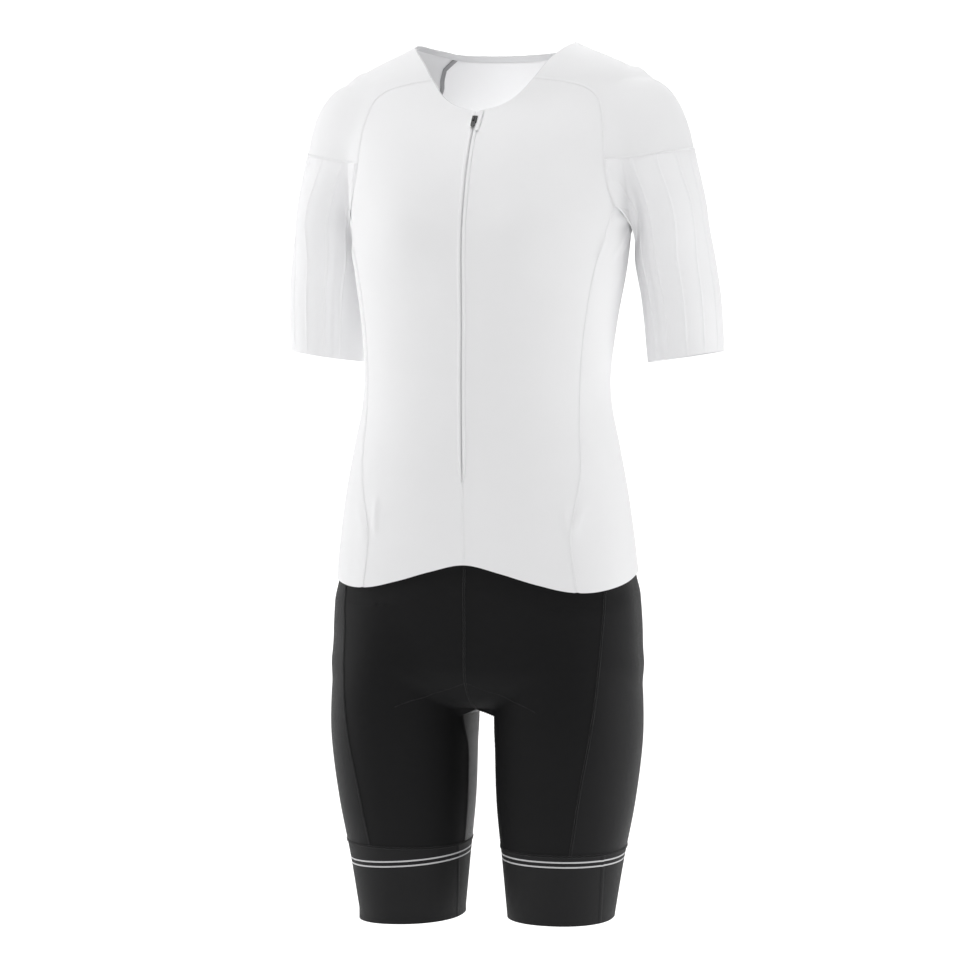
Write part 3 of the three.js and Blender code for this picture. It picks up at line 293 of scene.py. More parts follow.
@dataclass(frozen=True)
class Figure:
    """The general figure as fields in millimetres, negative inside."""

    shoulder_blend: float = 24.0
    crotch_blend: float = 8.0
    under_steep: float = 3.0
    bust_swell: float = 6.0
    bust_x: float = 70.0
    bust_z: float = -165.0
    bust_wide: float = 42.0
    bust_tall: float = 50.0
    leg_power: float = 2.15
    leg_fade: float = 0.12
    crotch_start: float = 26.0

    @staticmethod
    def closing(share: Array) -> Array:
        """How much of a section is left where a form closes like a dome."""
        return np.sqrt(np.maximum(1 - share * share, CLOSE_FLOOR))

    @staticmethod
    def section(across: Array, along: Array, half: Array, depth: Array, power: Any) -> Array:
        """How far points are outside a level section.

        Args:
            across: distance from its middle along X.
            along: distance from its middle along Y.
            half: its half width.
            depth: its half depth.
            power: its roundness, 2 for an ellipse.

        Returns:
            About the distance, negative inside.
        """
        r = (np.abs(across / half) ** power + np.abs(along / depth) ** power) ** (1 / power)
        return (r - 1) * np.minimum(half, depth)

    @staticmethod
    def soft_min(a: Array, b: Array, blend: float) -> Array:
        """The lower of two fields with a soft join of that size."""
        h = np.maximum(blend - np.abs(a - b), 0) / blend
        return np.minimum(a, b) - h * h * blend / 4

    def trunk(self, p: Array) -> Array:
        """The body without its arms and legs.

        Args:
            p: points, in millimetres.

        Returns:
            About the distance to its surface, negative inside.
        """
        x, y, z = p[..., 0], p[..., 1], p[..., 2]
        s = TRUNK.row(z)
        close = self.closing(clamp01((PELVIS_CLOSE_Z - z) / (PELVIS_CLOSE_Z - CROTCH_Z)))
        swell = self.bust_swell * np.exp(-((np.abs(x) - self.bust_x) / self.bust_wide) ** 2
                                         - ((z - self.bust_z) / self.bust_tall) ** 2)
        y = y - s["mid"]
        depth = np.where(y < 0, s["front"] + swell, s["back"]) * close
        value = self.section(x, y, s["half"] * np.sqrt(close), depth, s["power"])
        return value + np.maximum(0, CROTCH_Z - z) * self.under_steep

    def arm(self, p: Array) -> Array:
        """The upper arms.

        Args:
            p: points, in millimetres.

        Returns:
            About the distance to its surface, negative inside.
        """
        z = p[..., 2]
        s = ARM.row(z)
        close = self.closing(clamp01((z - SHOULDER_CLOSE_Z) / (SHOULDER_TOP_Z - SHOULDER_CLOSE_Z)))
        value = self.section(np.abs(p[..., 0]) - s["x"], p[..., 1] - s["y"],
                             s["half_x"] * close, s["half_y"] * close, 2)
        return value + np.maximum(0, z - SHOULDER_TOP_Z)

    def leg(self, p: Array) -> Array:
        """The thighs, held back a little above the seat.

        Args:
            p: points, in millimetres.

        Returns:
            About the distance to its surface, negative inside.
        """
        z = p[..., 2]
        s = LEG.row(z)
        y = p[..., 1] - LEG_Y
        depth = np.where(y < 0, s["front"], s["back"])
        value = self.section(np.abs(p[..., 0]) - s["x"], y, s["half"], depth, self.leg_power)
        return value + np.maximum(0, z - PELVIS_CLOSE_Z) * self.leg_fade

    def whole(self, p: Array) -> Array:
        """The whole figure, with soft joins.

        Args:
            p: points, in millimetres.

        Returns:
            About the distance to its surface, negative inside.
        """
        z = p[..., 2]
        trunk = self.trunk(p)
        low = self.soft_min(trunk, self.leg(p), self.crotch_blend)
        high = self.soft_min(trunk, self.arm(p), self.shoulder_blend)
        middle = np.where(z < SLEEVE_HEM_INNER_Z, trunk, high)
        return np.where(z < LEGS_FROM_Z, low, middle)

    def torso(self, p: Array) -> Array:
        """The figure above the armpits, the trunk alone below them."""
        z = p[..., 2]
        alone = np.where(z < LEGS_FROM_Z, 0, ease((ARM_FADE_Z - z) / ARM_FADE))
        return lerp(self.whole(p), self.trunk(p), alone)

    @staticmethod
    def gradient(value: Field, p: Array) -> Array:
        """Unit vectors out of a field's surface."""
        slopes = [value(p + axis) - value(p - axis) for axis in np.eye(3) * PROBE]
        return unit(np.stack(slopes, axis=-1))

    @staticmethod
    def cast(value: Field, start: Array, way: Array) -> Array:
        """Where straight lines from inside leave a field.

        Args:
            value: the field.
            start: points inside it.
            way: unit vectors.

        Returns:
            The points where they leave.
        """
        start, way = np.broadcast_arrays(start, way)
        a, d = start.reshape(-1, 3), way.reshape(-1, 3)
        far = np.full(len(a), REACH)
        inside = np.arange(len(a))
        r = 0.0
        while inside.size and r < REACH:
            r += STEP
            out = value(a[inside] + d[inside] * r) >= 0
            far[inside[out]] = r
            inside = inside[~out]
        near = far - STEP
        for _ in range(HALVINGS):
            middle = (near + far) / 2
            is_in = value(a + d * middle[:, None]) < 0
            near, far = np.where(is_in, middle, near), np.where(is_in, far, middle)
        return (a + d * ((near + far) / 2)[:, None]).reshape(start.shape)

    def torso_point(self, angle: Any, z: Any) -> Array:
        """Points on the torso by angle from the front to the left to the back."""
        way = turned(angle)
        z = np.broadcast_to(z, way.shape[:-1])
        return self.cast(self.torso, xyz(0.0, TRUNK.row(z)["mid"], z), way)

    @staticmethod
    def torso_angle(p: Array) -> Array:
        """The angle that torso_point takes."""
        return np.degrees(np.arctan2(p[..., 0], TRUNK.row(p[..., 2])["mid"] - p[..., 1]))

    def face_point(self, face: Face, x: Any, z: Any) -> Array:
        """Points on the torso straight before or behind the middle."""
        start = xyz(x, TRUNK.row(z)["mid"], z)
        return self.cast(self.torso, start, np.array([0.0, face.value, 0.0]))

    def shorts_point(self, face: Face, x: Any, z: Any) -> Array:
        """Points on the shorts straight before or behind the leg's line."""
        return self.cast(self.whole, xyz(x, LEG_Y, z), np.array([0.0, face.value, 0.0]))

    def leg_point(self, angle: Any, z: Any) -> Array:
        """Points on the shorts by angle: 0 outward, 90 to the front, 180 inward."""
        z = np.broadcast_to(np.asarray(z, float), np.shape(angle))
        return self.cast(self.whole, xyz(LEG.row(z)["x"], LEG_Y, z), round_limb(angle))

    @staticmethod
    def leg_angle(p: Array, full: bool = False) -> Array:
        """The angle that leg_point takes, as a full turn for a piece round the back."""
        angle = np.degrees(np.arctan2(LEG_Y - p[..., 1], p[..., 0] - LEG.row(p[..., 2])["x"]))
        angle = np.where(angle < LEG_TURN_FROM, angle + 360, angle)
        return np.where(angle < 90, angle + 360, angle) if full else angle

    def arm_point(self, value: Field, angle: Any, z: Any) -> Array:
        """Points round the arm: 0 outward, 90 to the front, 180 inward."""
        z = np.broadcast_to(np.asarray(z, float), np.shape(angle))
        s = ARM.row(z)
        return self.cast(value, xyz(s["x"], s["y"], z), round_limb(angle))

    def crotch_point(self, y: Any) -> Array:
        """Points under the body on the middle plane."""
        start = xyz(0.0, y, CROTCH_Z + self.crotch_start)
        return self.cast(self.whole, start, np.array([0.0, 0.0, -1.0]))


def hem_height(angle: Any) -> Array:
    """The height of the top's hem by angle round the trunk."""
    return TOP_HEM.at(np.abs(angle))


def shorts_top(angle: Any) -> Array:
    """The height of the shorts' upper edge, tucked under the hem."""
    return hem_height(angle) + SHORTS_TUCK


@dataclass
class Seams:
    """The seam lines of the wearer's left half, each from its lower end to its upper end."""

    figure: Figure
    below_zip_rows: int = 3
    zip_rows: int = 8
    armhole_rows: int = 4
    raglan_rows: int = 7
    side_columns: int = 7
    pelvis_rows: int = 8
    thigh_rows: int = 7
    crotch_corner: float = 2.5
    inner_ease: float = 45.0
    hem_back_x: float = 113.0
    hem_back_z: float = -505.0
    shorts_front_angle: float = 66.0
    shorts_back_angle: float = 122.0

    def __post_init__(self) -> None:
        """Works out every seam."""
        hem_rows = self.below_zip_rows + 1 + self.zip_rows
        front, back = Face.FRONT, Face.BACK
        fig = self.figure
        self.side_front = self.upright(SIDE_FRONT_SEAM, front, hem_rows, HEM_SIDE_FRONT_Z,
                                       ARMPIT_FRONT_Z)
        corner = fig.face_point(back, self.hem_back_x, self.hem_back_z)
        low = float(hem_height(fig.torso_angle(corner)))
        self.side_back = self.upright(SIDE_BACK_SEAM, back, hem_rows, low, ARMPIT_FRONT_Z)
        self.front_armhole = self.upright(FRONT_ARMHOLE, front, self.armhole_rows, ARMPIT_FRONT_Z,
                                          RIB_SEAM_FRONT_Z)
        self.back_armhole = self.upright(BACK_ARMHOLE, back, self.armhole_rows, ARMPIT_FRONT_Z,
                                         RIB_SEAM_FRONT_Z)
        self.front_raglan = self.raglan(FRONT_RAGLAN, front, self.neck(FRONT_RAGLAN_ANGLE))
        self.back_raglan = self.raglan(BACK_RAGLAN, back, self.neck(BACK_RAGLAN_ANGLE))
        self.front_edge = self.join(self.side_front, self.front_armhole, self.front_raglan)
        self.back_edge = self.join(self.side_back, self.back_armhole, self.back_raglan)
        self.rib_angles = (self.arm_angle(self.front_armhole[-1]),
                           self.arm_angle(self.back_armhole[-1]))
        self.inner_front = self.inner_edge(front)
        self.inner_back = self.inner_edge(back)
        self.outer_front = self.outer_edge(SHORTS_FRONT_SEAM, front, self.shorts_front_angle)
        self.outer_back = self.outer_edge(SHORTS_BACK_SEAM, back, self.shorts_back_angle)

    @staticmethod
    def join(*parts: Array) -> Array:
        """One line from several that meet end to end."""
        return np.concatenate([parts[0], *(part[1:] for part in parts[1:])])

    @staticmethod
    def arm_angle(p: Array) -> float:
        """The angle round the arm of one point."""
        s = ARM.row(p[2])
        return math.degrees(math.atan2(float(s["y"]) - p[1], p[0] - float(s["x"])))

    def upright(self, table: Table, face: Face, rows: int, low: float, high: float) -> Array:
        """A seam given as distance from the middle by height."""
        z = fine_steps(rows, low, high)
        return self.figure.face_point(face, table.at(z), z)

    def neck(self, angle: Any) -> Array:
        """Points on the neck edge."""
        return self.figure.torso_point(angle, NECKLINE.at(angle))

    def raglan(self, table: Table, face: Face, end: Array) -> Array:
        """A raglan seam from the armhole to the neck.

        Args:
            table: its known points.
            face: the front or back.
            end: the neck's point.

        Returns:
            The seam's points.
        """
        t = fine_steps(self.raglan_rows)[:-1]
        known = table.row(np.minimum(t, table.last))
        share = clamp01((t - table.last) / (1 - table.last))
        x = lerp(known["x"], end[0], share)
        z = lerp(known["z"], end[2], share)
        return np.concatenate([self.figure.face_point(face, x, z), end[None]])

    def rib_seam(self, u: Any) -> Array:
        """Points on the seam over the arm, from the front armhole to the back one."""
        angle = lerp(*self.rib_angles, u)
        z = lerp(RIB_SEAM_FRONT_Z, RIB_SEAM_OUTER_Z, np.sin(np.asarray(u) * math.pi))
        return self.figure.arm_point(self.figure.whole, angle, z)

    def shorts_levels(self, top: float) -> Array:
        """Heights of the shorts' rows."""
        return np.concatenate([
            fine_steps(self.pelvis_rows, top, CROTCH_Z),
            fine_steps(self.thigh_rows, CROTCH_Z - self.crotch_corner, BAND_TOP_Z)])

    def inner_edge(self, face: Face) -> Array:
        """The inner edge of a front or back panel: down the middle, then down the leg.

        Args:
            face: the front or back panel.

        Returns:
            The edge's points, top to bottom.
        """
        fig = self.figure
        is_front = face is Face.FRONT
        y = CROTCH_FRONT_Y if is_front else CROTCH_BACK_Y
        top = float(shorts_top(0.0 if is_front else 180.0))
        crotch = fig.crotch_point(y)
        start = float(fig.leg_angle(np.array([0.0, y, CROTCH_Z])))
        z = fine_steps(self.pelvis_rows, top, crotch[2])[:-1]
        middle = fig.face_point(face, np.zeros(len(z)), z)
        level = self.shorts_levels(top)[len(z) + 1:]
        share = clamp01((CROTCH_Z - level) / self.inner_ease)
        end = INNER_FRONT_ANGLE if is_front else INNER_BACK_ANGLE
        thigh = fig.leg_point(lerp(start, end, ease(share)), level)
        return np.concatenate([middle, crotch[None], thigh])

    def outer_edge(self, table: Table, face: Face, angle: float) -> Array:
        """The outer seam of the shorts before or behind the side panel."""
        z = self.shorts_levels(float(shorts_top(angle)))
        return self.figure.shorts_point(face, table.at(z), z)

    def middle_heights(self, low: float, armpit: float, rib: float, top: float) -> Array:
        """Heights of the rows on the middle line.

        Args:
            low: the hem.
            armpit: the armpit's row.
            rib: the rib seam's row.
            top: the neck edge.

        Returns:
            The heights from the hem up.
        """
        coarse = np.concatenate([
            np.linspace(low, ZIP_END_Z, self.below_zip_rows + 1),
            np.linspace(ZIP_END_Z + ZIP_TAPER, armpit, self.zip_rows + 1),
            np.linspace(armpit, rib, self.armhole_rows + 1)[1:],
            np.linspace(rib, top, self.raglan_rows + 1)[1:],
        ])
        count = (len(coarse) - 1) * FINE
        return np.interp(np.arange(count + 1) / FINE, np.arange(len(coarse)), coarse)


@dataclass(frozen=True)
class Crease:
    """A soft fold on the cloth, along points given as torso angle and height."""

    points: tuple[tuple[float, float], ...]
    height: float
    width: float
    steps: int = 9

    def path(self, figure: Figure) -> Array:
        """The fold's line on the figure."""
        given = np.array(self.points, float)
        place = np.linspace(0, len(given) - 1, self.steps)
        angle, z = (np.interp(place, np.arange(len(given)), given[:, k]) for k in (0, 1))
        return figure.torso_point(angle, z)

    def lift(self, ends: Array, p: Array) -> Array:
        """How far the fold lifts points of the cloth.

        Args:
            ends: the fold's line.
            p: points of the cloth, as rows.

        Returns:
            The lift of each point in millimetres.
        """
        result = np.zeros(len(p))
        reach = 3 * self.width
        near = np.nonzero(((p > ends.min(axis=0) - reach) & (p < ends.max(axis=0) + reach))
                          .all(axis=1))[0]
        q = p[near]
        best = np.full(len(q), 1e9)
        along = np.zeros(len(q))
        for number, (a, b) in enumerate(zip(ends[:-1], ends[1:])):
            t = clamp01(((q - a) @ (b - a)) / max(float((b - a) @ (b - a)), 1e-6))
            distance = np.linalg.norm(q - (a + t[:, None] * (b - a)), axis=-1)
            nearer = distance < best
            best = np.where(nearer, distance, best)
            along = np.where(nearer, (number + t) / (len(ends) - 1), along)
        fade = np.sqrt(np.maximum(np.sin(along * math.pi), 0))
        result[near] = self.height * np.exp(-(best / self.width) ** 2) * fade
        return result


@dataclass(frozen=True)
class Swell:
    """A broad, low fullness of the front on both sides of the zip, or a hollow."""

    x: float
    z: float
    height: float
    wide: float
    tall: float
    zip_half: float = 18.0
    front_fade: float = 30.0

    def lift(self, p: Array) -> Array:
        """How far it lifts points of the front, in millimetres."""
        x, y, z = p[..., 0], p[..., 1], p[..., 2]
        front = clamp01((TRUNK.row(z)["mid"] - y) / self.front_fade)
        off_zip = 1 - np.exp(-(x / self.zip_half) ** 2)
        return self.height * front * off_zip * np.exp(
            -((np.abs(x) - self.x) / self.wide) ** 2 - ((z - self.z) / self.tall) ** 2)


@dataclass
class Relief:
    """Everything that lifts the cloth off the figure's own smooth form."""

    figure: Figure
    creases: tuple[Crease, ...]
    swells: tuple[Swell, ...] = ()
    soft: float = 0.16
    waves: tuple[float, float, float] = (23.0, 31.0, 57.0)
    phases: tuple[float, float] = (1.3, 0.4)

    def __post_init__(self) -> None:
        """Finds every fold's line once."""
        self.paths = [crease.path(self.figure) for crease in self.creases]

    def lift(self, p: Array) -> Array:
        """The sum of all folds and swells at points, with a very soft unevenness.

        Args:
            p: points, in millimetres.

        Returns:
            The lift of each point in millimetres.
        """
        x, z = p[..., 0], p[..., 2]
        wide, tall, slanted = self.waves
        total = (self.soft * np.sin(x / wide + self.phases[0])
                 * np.sin(z / tall + self.phases[1]) * np.sin((x + z) / slanted))
        flat = p.reshape(-1, 3)
        for crease, line in zip(self.creases, self.paths):
            total = total + crease.lift(line, flat).reshape(total.shape)
        for swell in self.swells:
            total = total + swell.lift(p)
        return total


# Node trees

class Wire:
    """A socket of a node tree, with arithmetic that adds Math nodes."""

    def __init__(self, graph: "Graph", socket: Any) -> None:
        """Keeps the socket and the tree that it belongs to."""
        self.graph, self.socket = graph, socket

    def math(self, operation: str, *others: Any, first: Optional[Any] = None) -> "Wire":
        """One Math node.

        Args:
            operation: the node's operation.
            others: the values or wires of its further sockets.
            first: the value of the first socket, where this wire isn't the first.

        Returns:
            The node's value.
        """
        values = [self, *others] if first is None else [first, self]
        return self.graph.add("ShaderNodeMath", {"operation": operation}, dict(enumerate(values)))

    def __add__(self, other: Any) -> "Wire":
        """Sum."""
        return self.math("ADD", other)

    def __mul__(self, other: Any) -> "Wire":
        """Product."""
        return self.math("MULTIPLY", other)

    def __sub__(self, other: Any) -> "Wire":
        """Difference."""
        return self.math("SUBTRACT", other)

    def __truediv__(self, other: Any) -> "Wire":
        """Quotient."""
        return self.math("DIVIDE", other)

    def __rsub__(self, other: Any) -> "Wire":
        """Difference from a number."""
        return self.math("SUBTRACT", first=other)

    __radd__ = __add__
    __rmul__ = __mul__

    def sine(self) -> "Wire":
        """Sine."""
        return self.math("SINE")

    def size(self) -> "Wire":
        """The value without its sign."""
        return self.math("ABSOLUTE")

    def fraction(self) -> "Wire":
        """What is left over a whole number."""
        return self.math("FRACT")

    def under(self, limit: Any) -> "Wire":
        """1 where the value is under a limit."""
        return self.math("LESS_THAN", limit)


class Graph:
    """A node tree that is written by calls."""

    def __init__(self, tree: Any) -> None:
        """Empties the tree."""
        self.tree = tree
        tree.nodes.clear()

    def add(self, kind: str, settings: Optional[dict[str, Any]] = None,
            inputs: Optional[dict[Union[str, int], Any]] = None, out: Union[str, int] = 0) -> Wire:
        """Adds one node.

        Args:
            kind: the node's type.
            settings: its own settings, such as an operation, set first. "stops" fills a ramp.
            inputs: values or wires by socket name or number.
            out: the output that is returned.

        Returns:
            The wire of that output.
        """
        node = self.tree.nodes.new(kind)
        for name, value in (settings or {}).items():
            if name == "stops":
                self._fill_ramp(node.color_ramp, value)
            else:
                setattr(node, name, value)
        for key, value in (inputs or {}).items():
            if isinstance(value, Wire):
                self.tree.links.new(value.socket, node.inputs[key])
            else:
                node.inputs[key].default_value = value
        return Wire(self, node.outputs[out] if node.outputs else None)

    @staticmethod
    def _fill_ramp(ramp: Any, stops: Sequence[tuple[float, float]]) -> None:
        """Puts grey stops on a ramp."""
        while len(ramp.elements) < len(stops):
            ramp.elements.new(1.0)
        for element, (place, grey) in zip(ramp.elements, stops):
            element.position = place
            element.color = (grey, grey, grey, 1.0)

    def mix(self, factor: Any, a: Any, b: Any) -> Wire:
        """A colour between two colours or wires."""
        return self.add("ShaderNodeMix", {"data_type": "RGBA"}, {0: factor, 6: a, 7: b}, 2)


# Finishes

Colour = tuple[float, float, float]


def rgba(colour: Colour, factor: float = 1.0) -> tuple[float, float, float, float]:
    """A colour times a factor, with its fourth number."""
    return (*(min(c * factor, 1.0) for c in colour), 1.0)


@dataclass(frozen=True)
class Finish:
    """A plain finish, and the base of the others."""

    name: str
    colour: Colour
    roughness: float = 0.6
    metallic: float = 0.0
    coat: float = 0.0
    sheen: float = 0.0
    sheen_roughness: float = 0.4
    specular: float = 0.5
    scuff_scale: float = 900.0
    bump_strength: float = 0.6
    bump_height: float = 0.0004

    @staticmethod
    def noise(graph: Graph, scale: float, detail: float, roughness: float) -> Wire:
        """Noise over the object's own coordinates."""
        place = graph.add("ShaderNodeTexCoord", out="Object")
        return graph.add("ShaderNodeTexNoise", None, {
            "Vector": place, "Scale": scale, "Detail": detail, "Roughness": roughness})

    def pattern(self, graph: Graph) -> tuple[Any, Any, Any]:
        """Base colour, roughness and height of the finish. Here: fine scuffs."""
        grain = self.noise(graph, self.scuff_scale, 3.0, 0.6)
        colour = graph.mix(grain, rgba(self.colour, 0.85), rgba(self.colour, 1.15))
        return colour, grain * 0.2 + (self.roughness - 0.1), grain * 0.3

    def build(self) -> Any:
        """Makes the material.

        Returns:
            The Blender material.
        """
        material = bpy.data.materials.new(self.name)
        material.use_nodes = True
        graph = Graph(material.node_tree)
        colour, roughness, height = self.pattern(graph)
        bump = graph.add("ShaderNodeBump", None, {
            "Strength": self.bump_strength, "Distance": self.bump_height, "Height": height})
        shader = graph.add("ShaderNodeBsdfPrincipled", None, {
            "Base Color": colour, "Roughness": roughness, "Normal": bump,
            "Metallic": self.metallic, "Coat Weight": self.coat, "Sheen Weight": self.sheen,
            "Sheen Roughness": self.sheen_roughness, "Specular IOR Level": self.specular})
        graph.add("ShaderNodeOutputMaterial", None, {"Surface": shader})
        return material


@dataclass(frozen=True)
class KnitFinish(Finish):
    """A stretch knit: wales and courses on the cut's own coordinates, with soft variation."""

    wale: float = 0.0009
    course: float = 0.0007
    depth: float = 0.5
    tone: float = 0.03
    broad_scale: float = 14.0
    fuzz_scale: float = 1500.0

    @staticmethod
    def cloth_place(graph: Graph) -> tuple[Wire, Wire]:
        """The cut's coordinates in metres, across and along."""
        place = graph.add("ShaderNodeUVMap", {"uv_map": "cut"})
        across = graph.add("ShaderNodeSeparateXYZ", None, {0: place}, 0)
        return across, Wire(graph, across.socket.node.outputs[1])

    def knit(self, across: Wire, along: Wire) -> Wire:
        """The height of the loops, each wale a column of small chevrons."""
        half = ((across / self.wale).fraction() - 0.5).size() * 2.0
        loop = ((along / self.course + half * 0.9) * (2 * math.pi)).sine() * 0.5 + 0.5
        return (1.0 - half * half) * 0.5 + loop * 0.5

    def pattern(self, graph: Graph) -> tuple[Any, Any, Any]:
        """Base colour, roughness and height of the knit.

        Args:
            graph: the material's node tree.

        Returns:
            Base colour, roughness and height.
        """
        broad = self.noise(graph, self.broad_scale, 3.0, 0.5)
        fuzz = self.noise(graph, self.fuzz_scale, 2.0, 0.7)
        loops = self.knit(*self.cloth_place(graph))
        shade = clamp_wire(broad * 0.7 + loops * 0.2 + fuzz * 0.1)
        dark, pale = rgba(self.colour, 1 - self.tone), rgba(self.colour, 1 + self.tone)
        colour = graph.mix(shade, dark, pale)
        roughness = broad * 0.12 + (self.roughness - 0.06)
        return colour, roughness, loops * self.depth + fuzz * 0.25


@dataclass(frozen=True)
class BandFinish(KnitFinish):
    """The leg bands' elastic cloth, with two thin pale lines round its upper part."""

    lines: tuple[float, float] = (0.009, 0.0142)
    half_line: float = 0.0008
    line_colour: Colour = (0.55, 0.55, 0.56)

    def pattern(self, graph: Graph) -> tuple[Any, Any, Any]:
        """Base colour, roughness and height of the band.

        Args:
            graph: the material's node tree.

        Returns:
            Base colour, roughness and height.
        """
        colour, roughness, height = super().pattern(graph)
        _, along = self.cloth_place(graph)
        first, second = ((along - at).size().under(self.half_line) for at in self.lines)
        line = clamp_wire(first + second)
        colour = graph.mix(line, colour, rgba(self.line_colour))
        return colour, roughness - line * 0.2, height * (1.0 - line * 0.6) + line * 0.6


def clamp_wire(wire: Wire) -> Wire:
    """The wire's value held between 0 and 1."""
    return wire.graph.add("ShaderNodeClamp", None, {0: wire})


class Finishes:
    """Every finish of the suit, made once."""

    def __init__(self) -> None:
        """Builds the materials."""
        self.white = KnitFinish("white_knit", (0.86, 0.86, 0.868), 0.62, sheen=0.15).build()
        self.rib = KnitFinish("rib_knit", (0.89, 0.89, 0.9), 0.7, sheen=0.1, wale=0.0014,
                              course=0.0011, depth=0.8, tone=0.035).build()
        self.grey = KnitFinish("grey_binding", (0.66, 0.66, 0.67), 0.8, wale=0.0006,
                               course=0.0012).build()
        self.overlock = KnitFinish("grey_overlock", (0.36, 0.36, 0.37), 0.85, wale=0.0011,
                                   course=0.0007, depth=1.0).build()
        self.black = KnitFinish("black_knit", (0.0066, 0.0066, 0.0071), 0.6, sheen=0.015,
                                specular=0.12, tone=0.12).build()
        self.black_side = KnitFinish("black_side_knit", (0.0075, 0.0075, 0.0082), 0.5, sheen=0.1,
                                     sheen_roughness=0.2, specular=0.14, tone=0.12).build()
        # Inner thigh panels: a charcoal knit, partly its own darker grey and partly painted sheen:
        # its base colour is far lighter than the other black cloth to stand in for the grazing
        # shine along the inner thigh.
        self.inner = KnitFinish("inner_leg_knit", (0.044, 0.044, 0.0455), 0.5, sheen=0.5,
                                sheen_roughness=0.25, specular=0.2, tone=0.12).build()
        self.band = BandFinish("band_knit", (0.0095, 0.0095, 0.0102), 0.65, sheen=0.03,
                               specular=0.2, wale=0.0007, course=0.0011, tone=0.15).build()
        self.tape = KnitFinish("zip_tape", (0.78, 0.78, 0.79), 0.75, wale=0.0008,
                               course=0.0006).build()
        self.enamel = Finish("black_enamel", (0.004, 0.004, 0.0045), 0.35, coat=0.1,
                             specular=0.3).build()
        self.white_thread = Finish("white_thread", (0.86, 0.86, 0.87), 0.55, sheen=0.2).build()
        self.black_thread = Finish("black_thread", (0.03, 0.03, 0.031), 0.5, sheen=0.1).build()


# Mesh building

@dataclass(frozen=True)
class Cut:
    """The flat cut of a piece of cloth before it is worn, in metres."""

    width: float
    length: float
    share: float = 0.8

    @property
    def area(self) -> float:
        """Its flat area."""
        return self.width * self.length * self.share


def grid_lengths(grid: Array, closed: bool) -> tuple[Array, Array]:
    """Distances over a grid in metres, across from its middle column and along from row 0.

    Args:
        grid: rows by columns of points, in millimetres.
        closed: whether the last column joins the first.

    Returns:
        The two distances at each point.
    """
    wide = np.concatenate([grid, grid[:, :1]], axis=1) if closed else grid
    across = np.linalg.norm(np.diff(wide, axis=1), axis=-1).cumsum(axis=1)
    across = np.concatenate([np.zeros((len(grid), 1)), across], axis=1)
    across -= across[:, across.shape[1] // 2][:, None]
    along = np.linalg.norm(np.diff(wide, axis=0), axis=-1).cumsum(axis=0)
    along = np.concatenate([np.zeros((1, wide.shape[1])), along], axis=0)
    return across * MM, along * MM


def grid_normals(grid: Array, closed: bool) -> Array:
    """Unit vectors square to a grid of points."""
    if closed:
        across = np.roll(grid, -1, axis=1) - np.roll(grid, 1, axis=1)
    else:
        across = np.gradient(grid, axis=1)
    return unit(np.cross(across, np.gradient(grid, axis=0)))


def wall_faces(rows: int, columns: int, closed: bool) -> list[tuple[int, int, int, int]]:
    """Faces of a closed wall of two grids of rows by columns points.

    Args:
        rows: the grids' rows.
        columns: their columns.
        closed: whether the last column joins the first.

    Returns:
        The faces as point numbers, those of the inner grid after the outer one's.
    """
    last = columns if closed else columns - 1
    inner = rows * columns

    def at(i: int, j: int) -> int:
        """The outer point's number."""
        return i * columns + j % columns

    faces = []
    for i in range(rows - 1):
        for j in range(last):
            a, b, c, d = at(i, j), at(i, j + 1), at(i + 1, j + 1), at(i + 1, j)
            faces.append((a, b, c, d))
            faces.append((a + inner, d + inner, c + inner, b + inner))
    for j in range(last):
        a, b = at(0, j), at(0, j + 1)
        faces.append((a, a + inner, b + inner, b))
        a, b = at(rows - 1, j), at(rows - 1, j + 1)
        faces.append((a, b, b + inner, a + inner))
    if not closed:
        for i in range(rows - 1):
            a, b = at(i, 0), at(i + 1, 0)
            faces.append((a, b, b + inner, a + inner))
            a, b = at(i, columns - 1), at(i + 1, columns - 1)
            faces.append((a, a + inner, b + inner, b))
    return faces


def signed_volume(points: Array, faces: Sequence[Sequence[int]]) -> float:
    """The volume that quads enclose, negative where they face inwards.

    Args:
        points: the corners.
        faces: four point numbers each.

    Returns:
        The volume in the points' own unit.
    """
    q = points[np.array(faces)]
    first = np.einsum("ij,ij->i", q[:, 0], np.cross(q[:, 1], q[:, 2])).sum()
    second = np.einsum("ij,ij->i", q[:, 0], np.cross(q[:, 2], q[:, 3])).sum()
    return float(first + second) / 6


def new_mesh(name: str, points: Array, faces: Sequence[Sequence[int]] = ()) -> Any:
    """A mesh of points in metres and faces."""
    mesh = bpy.data.meshes.new(name)
    mesh.from_pydata(points.tolist(), [], faces)
    return mesh


def smooth(mesh: Any, sharp: float) -> None:
    """Shades a mesh smoothly, apart from edges over that many degrees."""
    mesh.shade_smooth()
    mesh.set_sharp_from_angle(angle=math.radians(sharp))


def loop_points(mesh: Any) -> Array:
    """The point's number at every corner of every face."""
    loops = np.empty(len(mesh.loops), np.int32)
    mesh.loops.foreach_get("vertex_index", loops)
    return loops


def place_object(name: str, data: Any, place: Vector = Vector(),
                 way: Optional[Vector] = None) -> Any:
    """Links new data as an object at a place, with its lens or light along a way.

    Args:
        name: the object's name.
        data: its mesh, light or camera.
        place: where it stands.
        way: where it looks, or nothing to leave it.

    Returns:
        The new object.
    """
    thing = bpy.data.objects.new(name, data)
    thing.location = place
    if way is not None:
        thing.rotation_euler = way.to_track_quat("-Z", "Y").to_euler()
    bpy.context.scene.collection.objects.link(thing)
    return thing


def add_object(name: str, mesh: Any, finish: Any) -> Any:
    """Links a mesh as an object with one finish."""
    mesh.materials.clear()
    mesh.materials.append(finish)
    return place_object(name, mesh)


